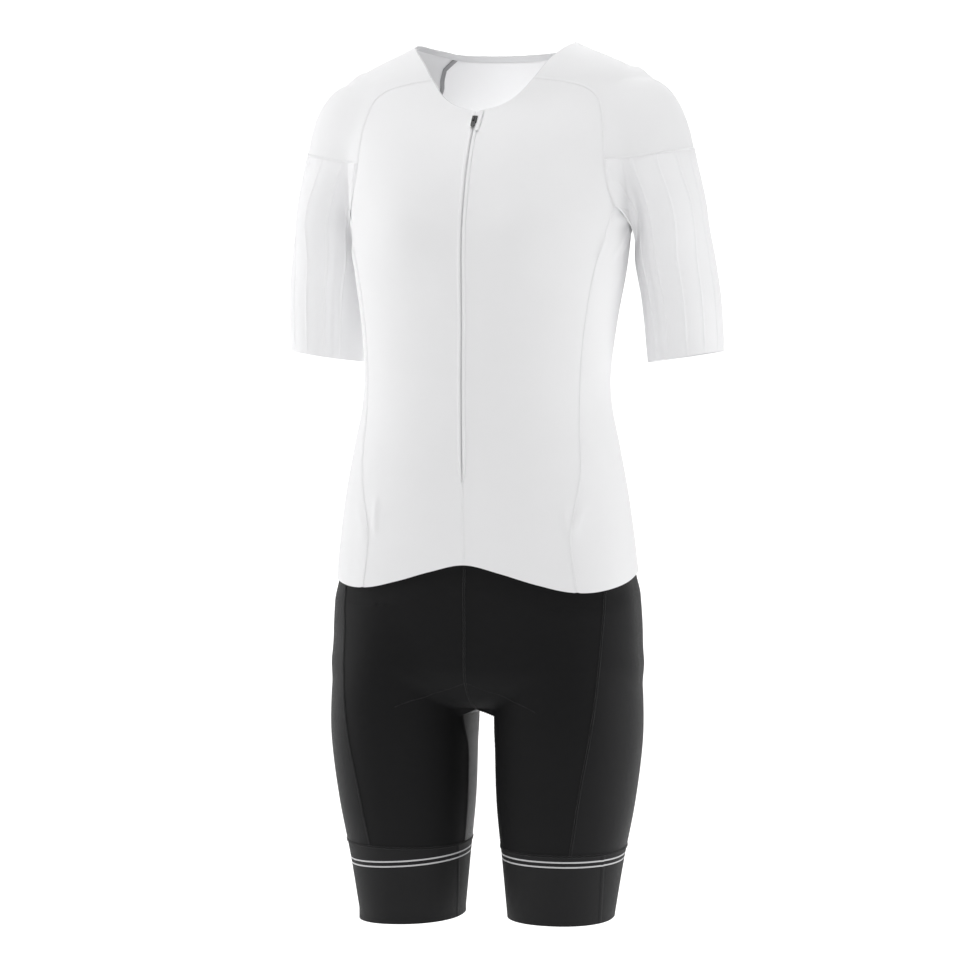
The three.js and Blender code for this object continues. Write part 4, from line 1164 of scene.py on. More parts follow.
def shell(name: str, outer: Array, normals: Array, wall: float, closed: bool, finish: Any,
          inner: Optional[Array] = None) -> Any:
    """A closed wall of cloth with its cut's coordinates.

    Args:
        name: the object's name.
        outer: rows by columns of outer points, in millimetres.
        normals: the unit vectors there.
        wall: the cloth's thickness in millimetres.
        closed: whether the last column joins the first.
        finish: the material.
        inner: the points that the inner face is measured from, where they aren't the outer ones.

    Returns:
        The new object.
    """
    rows, columns = outer.shape[:2]
    inside = (outer if inner is None else inner) - normals * wall
    points = np.concatenate([outer.reshape(-1, 3), inside.reshape(-1, 3)]) * MM
    faces = wall_faces(rows, columns, closed)
    if signed_volume(points, faces) < 0:
        faces = [face[::-1] for face in faces]
    mesh = new_mesh(name, points, faces)
    set_cut_map(mesh, outer, closed)
    smooth(mesh, CLOTH_SHARP)
    return add_object(name, mesh, finish)


def set_cut_map(mesh: Any, outer: Array, closed: bool) -> None:
    """Writes the cut's coordinates as a UV map, in metres.

    Args:
        mesh: a wall of two grids.
        outer: its outer grid, in millimetres.
        closed: whether the last column joins the first.
    """
    rows, columns = outer.shape[:2]
    across, along = grid_lengths(outer, closed)
    loops = loop_points(mesh) % (rows * columns)
    i, j = loops // columns, loops % columns
    if closed:
        starts = np.empty(len(mesh.polygons), np.int32)
        mesh.polygons.foreach_get("loop_start", starts)
        by_face = j.reshape(-1, 4)
        wraps = (by_face.max(axis=1) - by_face.min(axis=1)) > columns // 2
        by_face[wraps] = np.where(by_face[wraps] == 0, columns, by_face[wraps])
        j = by_face.reshape(-1)
    layer = mesh.uv_layers.new(name="cut")
    layer.data.foreach_set("uv", np.stack([across[i, j], along[i, j]], axis=-1).ravel())


@dataclass(frozen=True)
class Profile:
    """The cross section of a narrow strip: offsets across and outward, in millimetres."""

    ring: tuple[tuple[float, float], ...]

    @staticmethod
    def ridge(width: float, height: float, sink: float = 0.3) -> "Profile":
        """A low, rounded ridge of that width and height, sunk into the cloth."""
        h = width / 2
        crown = [(h * x, (height + 0.05) * (1 - x * x) - 0.05)
                 for x in (-1.0, -0.75, -0.45, -0.15, 0.15, 0.45, 0.75, 1.0)]
        return Profile((*crown, (0.5 * h, -sink), (-0.5 * h, -sink)))

    @staticmethod
    def welt(inner: float, outer: float, height: float, sink: float = 0.3) -> "Profile":
        """A rolled edge between two distances from the middle."""
        m, h = (inner + outer) / 2, (outer - inner) / 2
        turns = [(m - h * math.cos(a), height * math.sin(a) ** 0.7)
                 for a in np.linspace(0.12, math.pi - 0.12, 9)]
        return Profile((*turns, (outer - 0.2, -sink), (inner + 0.2, -sink)))


def strip(name: str, path: Array, normals: Array, profile: Profile, finish: Any,
          taper: Optional[Array] = None) -> Any:
    """Sweeps a profile along a path that lies on the cloth.

    Args:
        name: the object's name.
        path: the points, in millimetres.
        normals: unit vectors out of the cloth.
        profile: the cross section.
        finish: the material.
        taper: the width as a share of the profile's, for each point.

    Returns:
        The new object.
    """
    tangent = unit(np.gradient(path, axis=0))
    side = unit(np.cross(tangent, normals))
    ring = np.array(profile.ring)
    wide = np.ones(len(path)) if taper is None else taper
    points = (path[:, None] + side[:, None] * (ring[None, :, :1] * wide[:, None, None])
              + normals[:, None] * ring[None, :, 1:])
    count = len(ring)
    flat = points.reshape(-1, 3) * MM
    faces: list[tuple[int, ...]] = []
    for i in range(len(path) - 1):
        for j in range(count):
            a, b = i * count + j, i * count + (j + 1) % count
            faces.append((a, b, b + count, a + count))
    if signed_volume(flat, faces) < 0:
        faces = [face[::-1] for face in faces]
        faces += [tuple(range(count)), tuple(range(len(flat) - 1, len(flat) - count - 1, -1))]
    else:
        faces += [tuple(range(count - 1, -1, -1)), tuple(range(len(flat) - count, len(flat)))]
    mesh = new_mesh(name, flat, faces)
    loops = loop_points(mesh)
    uv = np.stack([ring[loops % count, 0], run_along(path)[loops // count]], axis=-1) * MM
    mesh.uv_layers.new(name="cut").data.foreach_set("uv", uv.ravel())
    smooth(mesh, STRIP_SHARP)
    return add_object(name, mesh, finish)


def merge(name: str, parts: Sequence[Any]) -> Any:
    """Joins objects with one finish into one mesh.

    Args:
        name: the joined object's name.
        parts: the objects.

    Returns:
        The joined object.
    """
    target = parts[0]
    with bpy.context.temp_override(active_object=target, selected_editable_objects=list(parts)):
        bpy.ops.object.join()
    target.name = name
    target.data.name = name
    return target


def evenly(path: Array, normals: Array, pitch: float) -> tuple[Array, Array, Array]:
    """Stations at an even pitch on a path: points, directions and unit vectors out.

    Args:
        path: the path's points.
        normals: unit vectors out of the cloth.
        pitch: the distance between stations.

    Returns:
        Three arrays, one row a station.
    """
    distance = run_along(path)
    count = max(int(distance[-1] / pitch), 2)
    at = (np.arange(count) + 0.5) * distance[-1] / count
    points, out = (np.stack([np.interp(at, distance, rows[:, k]) for k in range(3)], axis=-1)
                   for rows in (path, normals))
    return points, unit(np.gradient(points, axis=0)), unit(out)


@dataclass
class Stations:
    """Places for repeated small parts: a point, a direction along and one outward."""

    points: list[Array] = field(default_factory=list)
    along: list[Array] = field(default_factory=list)
    out: list[Array] = field(default_factory=list)

    def line(self, path: Array, normals: Array, pitch: float, shift: float = 0.0,
             lift: float = 0.0, lean: float = 0.0) -> None:
        """Adds a row of stations beside a path.

        Args:
            path: the path's points, in millimetres.
            normals: unit vectors out of the cloth.
            pitch: the distance between stations.
            shift: how far beside the path they lie.
            lift: how far over it.
            lean: degrees that every second one leans one way and the others the other way.
        """
        points, along, out = evenly(path, normals, pitch)
        side = unit(np.cross(along, out))
        turn = np.radians(lean) * np.where(np.arange(len(points)) % 2, 1.0, -1.0)[:, None]
        self.points.append(points + side * shift + out * lift)
        self.along.append(along * np.cos(turn) + side * np.sin(turn))
        self.out.append(out)

    def carrier(self, name: str) -> Any:
        """Makes the mesh of loose points that carries the stations."""
        mesh = new_mesh(name, np.concatenate(self.points) * MM)
        for label, rows in (("along", self.along), ("out", self.out)):
            layer = mesh.attributes.new(label, "FLOAT_VECTOR", "POINT")
            layer.data.foreach_set("vector", np.concatenate(rows).ravel())
        return place_object(name, mesh)


@dataclass(frozen=True)
class StitchTree:
    """Geometry nodes that lay one small arch of thread on every station."""

    length: float = 2.2
    height: float = 0.35
    thread: float = 0.16
    seed: int = 11
    least: float = 0.88
    most: float = 1.12
    arch_steps: int = 4
    thread_sides: int = 4

    def grow(self, name: str, stations: Stations, finish: Any) -> Any:
        """Makes the stitches of one seam set as a plain mesh.

        Args:
            name: the object's name.
            stations: where they lie.
            finish: the thread's material.

        Returns:
            The new object.
        """
        carrier = stations.carrier(name)
        tree = bpy.data.node_groups.new(name + "_nodes", "GeometryNodeTree")
        tree.interface.new_socket("Geometry", in_out="INPUT", socket_type="NodeSocketGeometry")
        sizes = {"Stitch Length": self.length * MM, "Arch Height": self.height * MM,
                 "Thread Radius": self.thread * MM}
        sockets = {}
        for label in sizes:
            socket = tree.interface.new_socket(label, in_out="INPUT", socket_type="NodeSocketFloat")
            sockets[label] = socket.identifier
        tree.interface.new_socket("Geometry", in_out="OUTPUT", socket_type="NodeSocketGeometry")
        self._write(Graph(tree), finish)
        return bake_nodes(carrier, tree, {sockets[label]: sizes[label] for label in sizes})

    def _write(self, graph: Graph, finish: Any) -> None:
        """Writes the tree's nodes.

        Args:
            graph: the empty tree.
            finish: the thread's material.
        """
        group = graph.add("NodeGroupInput")
        ports = {socket.name: Wire(graph, socket) for socket in group.socket.node.outputs}
        half = ports["Stitch Length"] * 0.5
        start = graph.add("ShaderNodeCombineXYZ", None, {0: half * -1.0})
        end = graph.add("ShaderNodeCombineXYZ", None, {0: half})
        top = graph.add("ShaderNodeCombineXYZ", None, {2: ports["Arch Height"] * 2.0})
        arch = graph.add("GeometryNodeCurveQuadraticBezier", None,
                         {"Resolution": self.arch_steps, "Start": start, "Middle": top, "End": end})
        ring = graph.add("GeometryNodeCurvePrimitiveCircle", None,
                         {"Resolution": self.thread_sides, "Radius": ports["Thread Radius"]})
        thread = graph.add("GeometryNodeCurveToMesh", None,
                           {"Curve": arch, "Profile Curve": ring, "Fill Caps": True})
        along, out = (graph.add("GeometryNodeInputNamedAttribute", {"data_type": "FLOAT_VECTOR"},
                                {"Name": label}) for label in ("along", "out"))
        turn = graph.add("FunctionNodeAxesToRotation", {"primary_axis": "Z", "secondary_axis": "X"},
                         {0: out, 1: along})
        size = graph.add("FunctionNodeRandomValue", {"data_type": "FLOAT"},
                         {2: self.least, 3: self.most, "Seed": self.seed}, 1)
        placed = graph.add("GeometryNodeInstanceOnPoints", None,
                           {"Points": ports["Geometry"], "Instance": thread, "Rotation": turn,
                            "Scale": size})
        real = graph.add("GeometryNodeRealizeInstances", None, {0: placed})
        dressed = graph.add("GeometryNodeSetMaterial", None, {"Geometry": real, "Material": finish})
        graph.add("NodeGroupOutput", None, {0: dressed})


def bake_nodes(carrier: Any, tree: Any, values: dict[str, float]) -> Any:
    """Runs a tree on an object and keeps its result as a plain mesh.

    Args:
        carrier: the object that the tree starts from.
        tree: the node tree.
        values: its inputs by identifier.

    Returns:
        The same object with the new mesh and no modifier.
    """
    modifier = carrier.modifiers.new("nodes", "NODES")
    modifier.node_group = tree
    for identifier, value in values.items():
        modifier[identifier] = value
    graph = bpy.context.evaluated_depsgraph_get()
    mesh = bpy.data.meshes.new_from_object(carrier.evaluated_get(graph))
    carrier.modifiers.remove(modifier)
    carrier.data = mesh
    mesh.name = carrier.name
    mesh.shade_smooth()
    return carrier


# The suit

@dataclass
class Workshop:
    """What every sub-assembly shares: the figure, its seams and the finishes."""

    figure: Figure
    seams: Seams
    finishes: Finishes

    def register(self, thing: Any, slot: str, *nodes: str, body: str = "suit") -> Any:
        """Says which body a piece rides on and the nodes that it stands for.

        Args:
            thing: the object.
            slot: its material slot in the record; not used.
            nodes: the frame's nodes that it stands for.
            body: the body that it rides on.

        Returns:
            The same object.
        """
        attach(thing, body)
        if nodes:
            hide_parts(*nodes)
        LOG.info("%s: %d faces", thing.name, len(thing.data.polygons))
        return thing

    def cloth(self, name: str, slot: str, thing: Any, cut: Cut) -> Any:
        """Registers a piece of cloth that stands for the node of its name."""
        self.register(thing, slot, name)
        return thing


def mirrored(grid: Array, side: Side) -> Array:
    """A copy of a grid on one side of the middle plane."""
    return grid * np.array([side.value, 1.0, 1.0])


@dataclass
class Bodice:
    """The white top: front, side, back and shoulder panels, each cut on its own."""

    shop: Workshop
    relief: Relief
    wall: float = 0.8
    front_columns: int = 8
    back_half_columns: int = 7
    shoulder_columns: int = 12

    front_cut: Cut = Cut(0.150, 0.560, 0.69)
    side_cut: Cut = Cut(0.170, 0.380, 0.72)
    back_cut: Cut = Cut(0.262, 0.545, 0.77)
    shoulder_cut: Cut = Cut(0.205, 0.170, 0.69)
    arm_middle: tuple[float, float, float] = (158.0, 2.0, -100.0)
    neck_middle: tuple[float, float, float] = (48.0, 0.0, -38.0)

    def torso_grid(self, first: Array, last: Array, columns: int,
                   top: Callable[[Array, Array], Array]) -> Array:
        """Fills a panel between two upright seams, from the hem to its upper edge.

        Args:
            first: the seam at its first column.
            last: the seam at its last column.
            columns: the frame's own columns, made finer here.
            top: the upper edge's height by angle and share.

        Returns:
            The grid of points.
        """
        fig = self.shop.figure
        v = np.linspace(0, 1, len(first))[:, None]
        u = fine_steps(columns)[None]
        angle = lerp(fig.torso_angle(first)[:, None], fig.torso_angle(last)[:, None], u)
        bow = ((1 - v) * (hem_height(angle[:1]) - lerp(first[0, 2], last[0, 2], u))
               + v * (top(angle[-1:], u) - lerp(first[-1, 2], last[-1, 2], u)))
        grid = fig.torso_point(angle, lerp(first[:, 2:], last[:, 2:], u) + bow)
        grid[:, 0], grid[:, -1] = first, last
        return grid

    def half_grid(self, face: Face, outer: Array, rows: tuple[float, float], columns: int,
                  gap: float = 0.0) -> Array:
        """The front or the back from the middle line to its outer seams, on the left.

        Args:
            face: which of the two.
            outer: its outer seams as one line.
            rows: the heights of its armpit and rib rows on the middle line.
            columns: the frame's own columns.
            gap: how far off the middle plane it starts beside the zip.

        Returns:
            The grid of points.
        """
        turn = 0 if face is Face.FRONT else 180
        z = self.shop.seams.middle_heights(float(TOP_HEM.at(turn)), *rows,
                                           float(NECKLINE.at(turn)))
        edge = clamp01((z - ZIP_END_Z) / ZIP_TAPER) * gap
        middle = self.shop.figure.face_point(face, edge, z)
        return self.torso_grid(middle, outer, columns, lambda angle, u: NECKLINE.at(np.abs(angle)))

    def front_grid(self) -> Array:
        """The wearer's left front panel."""
        return self.half_grid(Face.FRONT, self.shop.seams.front_edge,
                              (FRONT_ARMPIT_ROW_Z, FRONT_RIB_ROW_Z), self.front_columns,
                              ZIP_HALF_GAP)

    def back_grid(self) -> Array:
        """The back panel, both halves."""
        half = self.half_grid(Face.BACK, self.shop.seams.back_edge,
                              (BACK_ARMPIT_ROW_Z, BACK_RIB_ROW_Z), self.back_half_columns)
        return np.concatenate([mirrored(half, Side.RIGHT)[:, :0:-1], half], axis=1)

    def side_grid(self) -> Array:
        """The wearer's left side panel."""
        seams = self.shop.seams
        return self.torso_grid(seams.side_front, seams.side_back, seams.side_columns,
                               lambda angle, u: lerp(ARMPIT_FRONT_Z, ARMPIT_Z, np.sin(u * math.pi)))

    def shoulder_grid(self) -> Array:
        """The raglan cap: between two raglan seams, the neck edge and the rib cloth's seam.

        Returns:
            The grid of points, from the rib seam to the neck.
        """
        seams = self.shop.seams
        front, back = seams.front_raglan, seams.back_raglan
        t = np.linspace(0, 1, len(front))[:, None, None]
        u = fine_steps(self.shoulder_columns)
        rib = seams.rib_seam(u)
        neck = seams.neck(lerp(FRONT_RAGLAN_ANGLE, BACK_RAGLAN_ANGLE, u))
        w = u[None, :, None]
        guess = (front[:, None] * (1 - w) + back[:, None] * w + rib[None] * (1 - t)
                 + neck[None] * t - front[0] * (1 - w) * (1 - t) - back[0] * w * (1 - t)
                 - front[-1] * (1 - w) * t - back[-1] * w * t)
        start = lerp(np.array(self.arm_middle), np.array(self.neck_middle), t)
        fig = self.shop.figure
        grid = fig.cast(fig.whole, start, unit(guess - start))
        grid[0], grid[-1] = rib, neck
        grid[:, 0], grid[:, -1] = front, back
        return grid

    def panel(self, node: str, grid: Array, cut: Cut, value: Field) -> Any:
        """Makes one panel."""
        normals = self.shop.figure.gradient(value, grid)
        outer = grid + normals * self.relief.lift(grid)[..., None]
        thing = shell(node + "_cloth", outer, normals, self.wall, False, self.shop.finishes.white)
        return self.shop.cloth(node, "white_cloth", thing, cut)

    def build(self) -> None:
        """Makes every panel of the top."""
        fig = self.shop.figure
        pieces = {"front": (self.front_grid(), self.front_cut, fig.torso),
                  "side": (self.side_grid(), self.side_cut, fig.torso),
                  "shoulder": (self.shoulder_grid(), self.shoulder_cut, fig.whole)}
        for side in Side:
            for word, (grid, cut, value) in pieces.items():
                self.panel(f"{word}_panel_{side.word}", mirrored(grid, side), cut, value)
        self.panel("back_panel", self.back_grid(), self.back_cut, fig.torso)


@dataclass
class Sleeves:
    """The ribbed sleeves, each one tube of rib cloth with narrow raised ribs down its length."""

    shop: Workshop
    wall: float = 0.8
    ribs: int = 9
    rib_height: float = 0.8
    rib_half: float = 0.95
    rows: int = 64
    columns: int = 420
    flow: float = 46.0
    clear: float = 2.0
    armhole_clear: float = 1.6
    cut: Cut = Cut(0.345, 0.215, 0.66)
    extra_rib: float = 127.0
    arm_radius: float = 40.0
    rib_end_rows: int = 3
    row_bias: float = 1.25
    clear_passes: int = 4

    def under_place(self, angle: Array) -> Array:
        """How far round the armhole under the arm angles lie, 0 or less over the arm."""
        first, last = self.shop.seams.rib_angles
        return (np.where(angle < last, angle + 360, angle) - first) / (360 + last - first)

    def top_at(self, angle: Array, side_top: Array) -> Array:
        """The upper edge: the rib seam over the arm, then the armhole under it.

        Args:
            angle: angles round the arm.
            side_top: the side panel's upper edge.

        Returns:
            A point for each angle.
        """
        seams = self.shop.seams
        first, last = seams.rib_angles
        over = (angle <= first) & (angle >= last)
        result = seams.rib_seam((angle - first) / (last - first))
        loop = np.concatenate([seams.front_armhole[::-1], side_top[1:], seams.back_armhole[1:]])
        place = clamp01(self.under_place(angle)) * (len(loop) - 1)
        low = np.minimum(place.astype(int), len(loop) - 2)
        under = lerp(loop[low], loop[low + 1], (place - low)[:, None])
        return np.where(over[:, None], result, under)

    def under_share(self, angle: Array) -> Array:
        """0 at the rib seam, growing to 1 where the armhole runs under the arm."""
        seams = self.shop.seams
        share = self.under_place(angle)
        ramp = seams.armhole_rows / (2 * seams.armhole_rows + seams.side_columns)
        return np.where(share <= 0, 0, clamp01(np.minimum(share, 1 - share) / ramp))

    def grid(self, angle: Array, side_top: Array, rows: int) -> Array:
        """The sleeve's surface without ribs.

        Args:
            angle: the columns' angles round the arm.
            side_top: the side panel's upper edge.
            rows: how many rows lie under the first.

        Returns:
            The grid of points, from the upper edge to the hem.
        """
        fig = self.shop.figure
        top = self.top_at(angle, side_top)
        top = top + fig.gradient(fig.trunk, top) * (
            self.armhole_clear * self.under_share(angle))[:, None]
        v = np.linspace(0, 1, rows + 1)[:, None]
        hem = lerp(SLEEVE_HEM_OUTER_Z, SLEEVE_HEM_INNER_Z, (1 - np.cos(np.radians(angle))) / 2)
        z = lerp(top[None, :, 2], hem[None], v ** self.row_bias)
        turns = np.broadcast_to(angle, z.shape)
        base = fig.arm_point(fig.arm, turns, z)
        start = fig.arm_point(fig.arm, angle, top[:, 2])
        fade = (1 - clamp01((top[None, :, 2] - z) / self.flow)) ** 2
        p = base + (top - start)[None] * fade[..., None]
        for _ in range(self.clear_passes):
            short = np.maximum(self.clear - fig.trunk(p), 0)
            p = p + fig.gradient(fig.trunk, p) * short[..., None]
        p[0] = top
        return p

    def rib_angles(self) -> Array:
        """Where the ribs run, with one more on each side under the arm."""
        first, last = self.shop.seams.rib_angles
        over = lerp(first, last, (np.arange(self.ribs) + 0.5) / self.ribs)
        return np.concatenate([[self.extra_rib], over, [-self.extra_rib]])

    def build(self, side_top: Array) -> None:
        """Makes both sleeves.

        Args:
            side_top: the side panel's upper edge.
        """
        shop = self.shop
        first, _ = shop.seams.rib_angles
        angle = first - 360 * np.arange(self.columns) / self.columns
        angle = np.where(angle < -180, angle + 360, angle)
        plain = self.grid(angle, side_top, self.rows)
        away = np.abs((angle - self.rib_angles()[:, None] + 180) % 360 - 180).min(axis=0)
        reach = np.radians(away) * self.arm_radius
        bump = self.rib_height * np.exp(-(reach / self.rib_half) ** 2)
        rows = np.arange(self.rows + 1)
        ends = clamp01(np.minimum(rows, self.rows - rows) / self.rib_end_rows)[:, None]
        for side in Side:
            grid = mirrored(plain, side)
            normals = grid_normals(grid, True) * (-side.value)
            raised = grid + normals * (bump[None] * ends)[..., None]
            thing = shell(f"sleeve_{side.word}_cloth", raised, normals, self.wall, True,
                          shop.finishes.rib, inner=grid)
            shop.cloth(f"sleeve_{side.word}", "rib_cloth", thing, self.cut)


@dataclass
class NeckTrim:
    """The grey tape inside the neck and the grey overlocked seams that show inside the back."""

    shop: Workshop
    start_angle: float = 8.0
    height: float = 6.0
    stands_over: float = 1.0
    depth: float = 1.4
    wall: float = 0.8
    columns: int = 220
    rows: int = 6
    overlock: Profile = Profile(((-2.2, -1.2), (-2.0, -1.9), (-0.8, -2.1), (0.8, -2.1),
                                 (2.0, -1.9), (2.2, -1.2), (0.0, -0.9)))

    def build(self) -> None:
        """Makes the tape and the overlocked edges."""
        shop, fig = self.shop, self.shop.figure
        angle = np.linspace(self.start_angle, 360 - self.start_angle, self.columns + 1)
        left = shop.seams.neck(np.where(angle > 180, 360 - angle, angle))
        edge = left * xyz(np.where(angle > 180, -1, 1), 1.0, 1.0)
        normals = fig.gradient(fig.torso, edge)
        away = unit(np.cross(np.gradient(edge, axis=0), normals))
        down = np.linspace(-self.stands_over, self.height, self.rows + 1)[:, None, None]
        grid = edge[None] + away[None] * down - normals[None] * self.depth
        out = np.broadcast_to(normals, grid.shape)
        thing = shell("neck_binding_tape", grid, out, self.wall, False, shop.finishes.grey)
        shop.register(thing, "grey_binding", "neck_binding")
        for side in Side:
            path = mirrored(shop.seams.back_raglan, side)
            thing = strip(f"overlock_{side.word}", path, fig.gradient(fig.torso, path),
                          self.overlock, shop.finishes.overlock)
            shop.register(thing, "grey_binding")


@dataclass
class Zip:
    """The front zip: rolled welts over the tapes, the coil between them, garage and slider."""

    shop: Workshop
    welt_inner: float = 0.55
    welt_outer: float = 4.4
    welt_height: float = 1.5
    welt_end: float = 0.3
    welt_short: float = 2.0
    samples: int = 190
    garage_length: float = 21.0
    garage_end: float = 0.8
    garage_short: float = 1.0
    garage: Profile = Profile(((3.0, 1.5), (3.4, 2.5), (5.2, 2.9), (7.2, 2.6), (8.2, 1.9),
                               (8.3, 1.1), (5.2, 1.4)))
    tooth: StitchTree = StitchTree(length=2.6, height=0.3, thread=0.3)
    tooth_pitch: float = 1.1
    tooth_lift: float = 0.1
    tooth_lean: float = 78.0
    coil_low: float = 3.0
    coil_short: float = 8.0

    def middle(self, low: float, high: float) -> tuple[Array, Array]:
        """Points and unit vectors on the front middle line between two heights.

        Args:
            low: the lower height.
            high: the upper height.

        Returns:
            The points and the unit vectors.
        """
        fig = self.shop.figure
        z = np.linspace(low, high, self.samples)
        path = fig.face_point(Face.FRONT, np.zeros(len(z)), z)
        normals = fig.gradient(fig.torso, path)
        normals[:, 0] = 0
        return path, unit(normals)

    def build(self) -> None:
        """Makes the welts, the garage and the coil, and dresses the tapes and the slider."""
        shop = self.shop
        path, normals = self.middle(ZIP_END_Z, ZIP_TOP_Z - self.welt_short)
        taper = lerp(self.welt_end, 1.0, clamp01((path[:, 2] - ZIP_END_Z) / ZIP_TAPER))
        welt = Profile.welt(self.welt_inner, self.welt_outer, self.welt_height)
        for side in Side:
            ring = Profile(tuple((x * side.value, y) for x, y in welt.ring))
            thing = strip(f"zip_welt_{side.word}_roll", path, normals, ring, shop.finishes.white,
                          taper)
            shop.register(thing, "white_cloth", f"zip_welt_{side.word}")
            dress(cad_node(f"zip_tape_{side.word}"), shop.finishes.tape)
        path, normals = self.middle(ZIP_TOP_Z - self.garage_length,
                                    ZIP_TOP_Z - self.garage_short)
        taper = np.linspace(self.garage_end, 1.0, self.samples)
        thing = strip("zip_garage_flap", path, normals, self.garage, shop.finishes.white, taper)
        shop.register(thing, "white_cloth", "zip_garage")
        coil = Stations()
        path, normals = self.middle(ZIP_END_Z + self.coil_low, ZIP_TOP_Z - self.coil_short)
        coil.line(path, normals, self.tooth_pitch, lift=self.tooth_lift, lean=self.tooth_lean)
        shop.register(self.tooth.grow("zip_coil", coil, shop.finishes.tape), "zip_tape")
        for node in ("zip_slider", "zip_slider_bridge", "zip_pull"):
            dress(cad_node(node), shop.finishes.enamel)


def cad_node(name: str) -> Any:
    """The frame's object of that name."""
    return frame["nodes"][name]


def dress(thing: Any, finish: Any) -> None:
    """Puts a finish on all the material slots of an object, or on a first one."""
    if not thing.material_slots:
        thing.data.materials.append(finish)
    for place in thing.material_slots:
        place.material = finish


@dataclass
class Shorts:
    """The black shorts: front, side, back and inner panels of each leg."""

    shop: Workshop
    relief: Relief
    wall: float = 0.9
    sink: float = 2.7
    sink_from: float = 2.0
    sink_fade: float = 24.0
    front_columns: int = 8
    side_columns: int = 7
    back_columns: int = 10
    inner_columns: int = 5

    front_cut: Cut = Cut(0.146, 0.325, 0.72)
    side_cut: Cut = Cut(0.166, 0.290, 0.88)
    back_cut: Cut = Cut(0.136, 0.345, 0.75)
    inner_cut: Cut = Cut(0.060, 0.132, 0.85)

    def lift(self, p: Array) -> Array:
        """How far the cloth lies off the figure: sunk under the top's hem."""
        below = hem_height(self.shop.figure.torso_angle(p)) - p[..., 2]
        return -self.sink * (1 - ease((below - self.sink_from) / self.sink_fade))

    def grid(self, first: Array, last: Array, columns: int, full: bool = False) -> Array:
        """Fills a panel between two seams of a leg.

        Args:
            first: the seam at its first column.
            last: the seam at its last column.
            columns: the frame's own columns, made finer here.
            full: whether its angles run round the back as a full turn.

        Returns:
            The grid of points.
        """
        fig = self.shop.figure
        u = fine_steps(columns)[None]
        start, end = (fig.leg_angle(seam, full)[:, None] for seam in (first, last))
        angle = lerp(start, end, u)
        from_top = 1 - np.linspace(0, 1, len(first))[:, None]
        straight = lerp(first[0, 2], last[0, 2], u)
        top_angle = fig.torso_angle(fig.leg_point(angle[:1], straight))
        bow = from_top ** 3 * (shorts_top(top_angle) - straight)
        grid = fig.leg_point(angle, lerp(first[:, 2:], last[:, 2:], u) + bow)
        grid[:, 0], grid[:, -1] = first, last
        return grid

    def inner_grid(self) -> Array:
        """The panel inside a thigh, from the crotch down.

        Returns:
            The grid of points.
        """
        fig, seams = self.shop.figure, self.shop.seams
        rows = seams.pelvis_rows * FINE
        front, back = seams.inner_front[rows:], seams.inner_back[rows:]
        u = fine_steps(self.inner_columns)[None]
        angle = lerp(fig.leg_angle(front)[:, None], fig.leg_angle(back)[:, None], u)
        grid = fig.leg_point(angle, front[:, 2:])
        grid[0] = fig.crotch_point(lerp(CROTCH_FRONT_Y, CROTCH_BACK_Y, u[0]))
        grid[:, 0], grid[:, -1] = front, back
        return grid

    def panel(self, node: str, grid: Array, finish: Any, cut: Cut) -> None:
        """Makes one panel."""
        fig = self.shop.figure
        normals = fig.gradient(fig.whole, grid)
        outer = grid + normals * (self.lift(grid) + self.relief.lift(grid))[..., None]
        thing = shell(node + "_cloth", outer, normals, self.wall, False, finish)
        self.shop.cloth(node, "black_cloth", thing, cut)

    def build(self) -> None:
        """Makes the panels of both legs."""
        seams, look = self.shop.seams, self.shop.finishes
        pieces = {
            "front": (self.grid(seams.inner_front, seams.outer_front, self.front_columns),
                      look.black, self.front_cut),
            "side": (self.grid(seams.outer_front, seams.outer_back, self.side_columns),
                     look.black_side, self.side_cut),
            "back": (self.grid(seams.outer_back, seams.inner_back, self.back_columns, True),
                     look.black, self.back_cut),
            # The inner panels' finish carries painted sheen in its lighter base colour.
            "inner": (self.inner_grid(), look.inner, self.inner_cut),
        }
        for side in Side:
            for word, (grid, finish, cut) in pieces.items():
                self.panel(f"shorts_{word}_{side.word}", mirrored(grid, side), finish, cut)


@dataclass(frozen=True)
class BandSet:
    """How the band sits on one leg: slants in millimetres and its seam's angles."""

    hem_drop: float
    hem_slant: float
    line_drop: float
    line_slant: float
    seam: tuple[float, float]
    slant_angle: float = 15.0

    def hem(self, angle: Any) -> Array:
        """The hem's height by angle round the leg."""
        return LEG_HEM_Z - self.hem_drop - self.hem_slant * np.cos(np.radians(angle))

    def line_shift(self, angle: Any) -> Array:
        """How far the pale lines lie below their usual place."""
        return self.line_drop + self.line_slant * np.cos(np.radians(angle - self.slant_angle))


BAND_SETS = {
    Side.LEFT: BandSet(0.0, 0.0, -2.5, 0.0, (38.0, 31.0)),
    Side.RIGHT: BandSet(7.2, 2.6, 4.3, 5.5, (158.0, 166.0)),
}


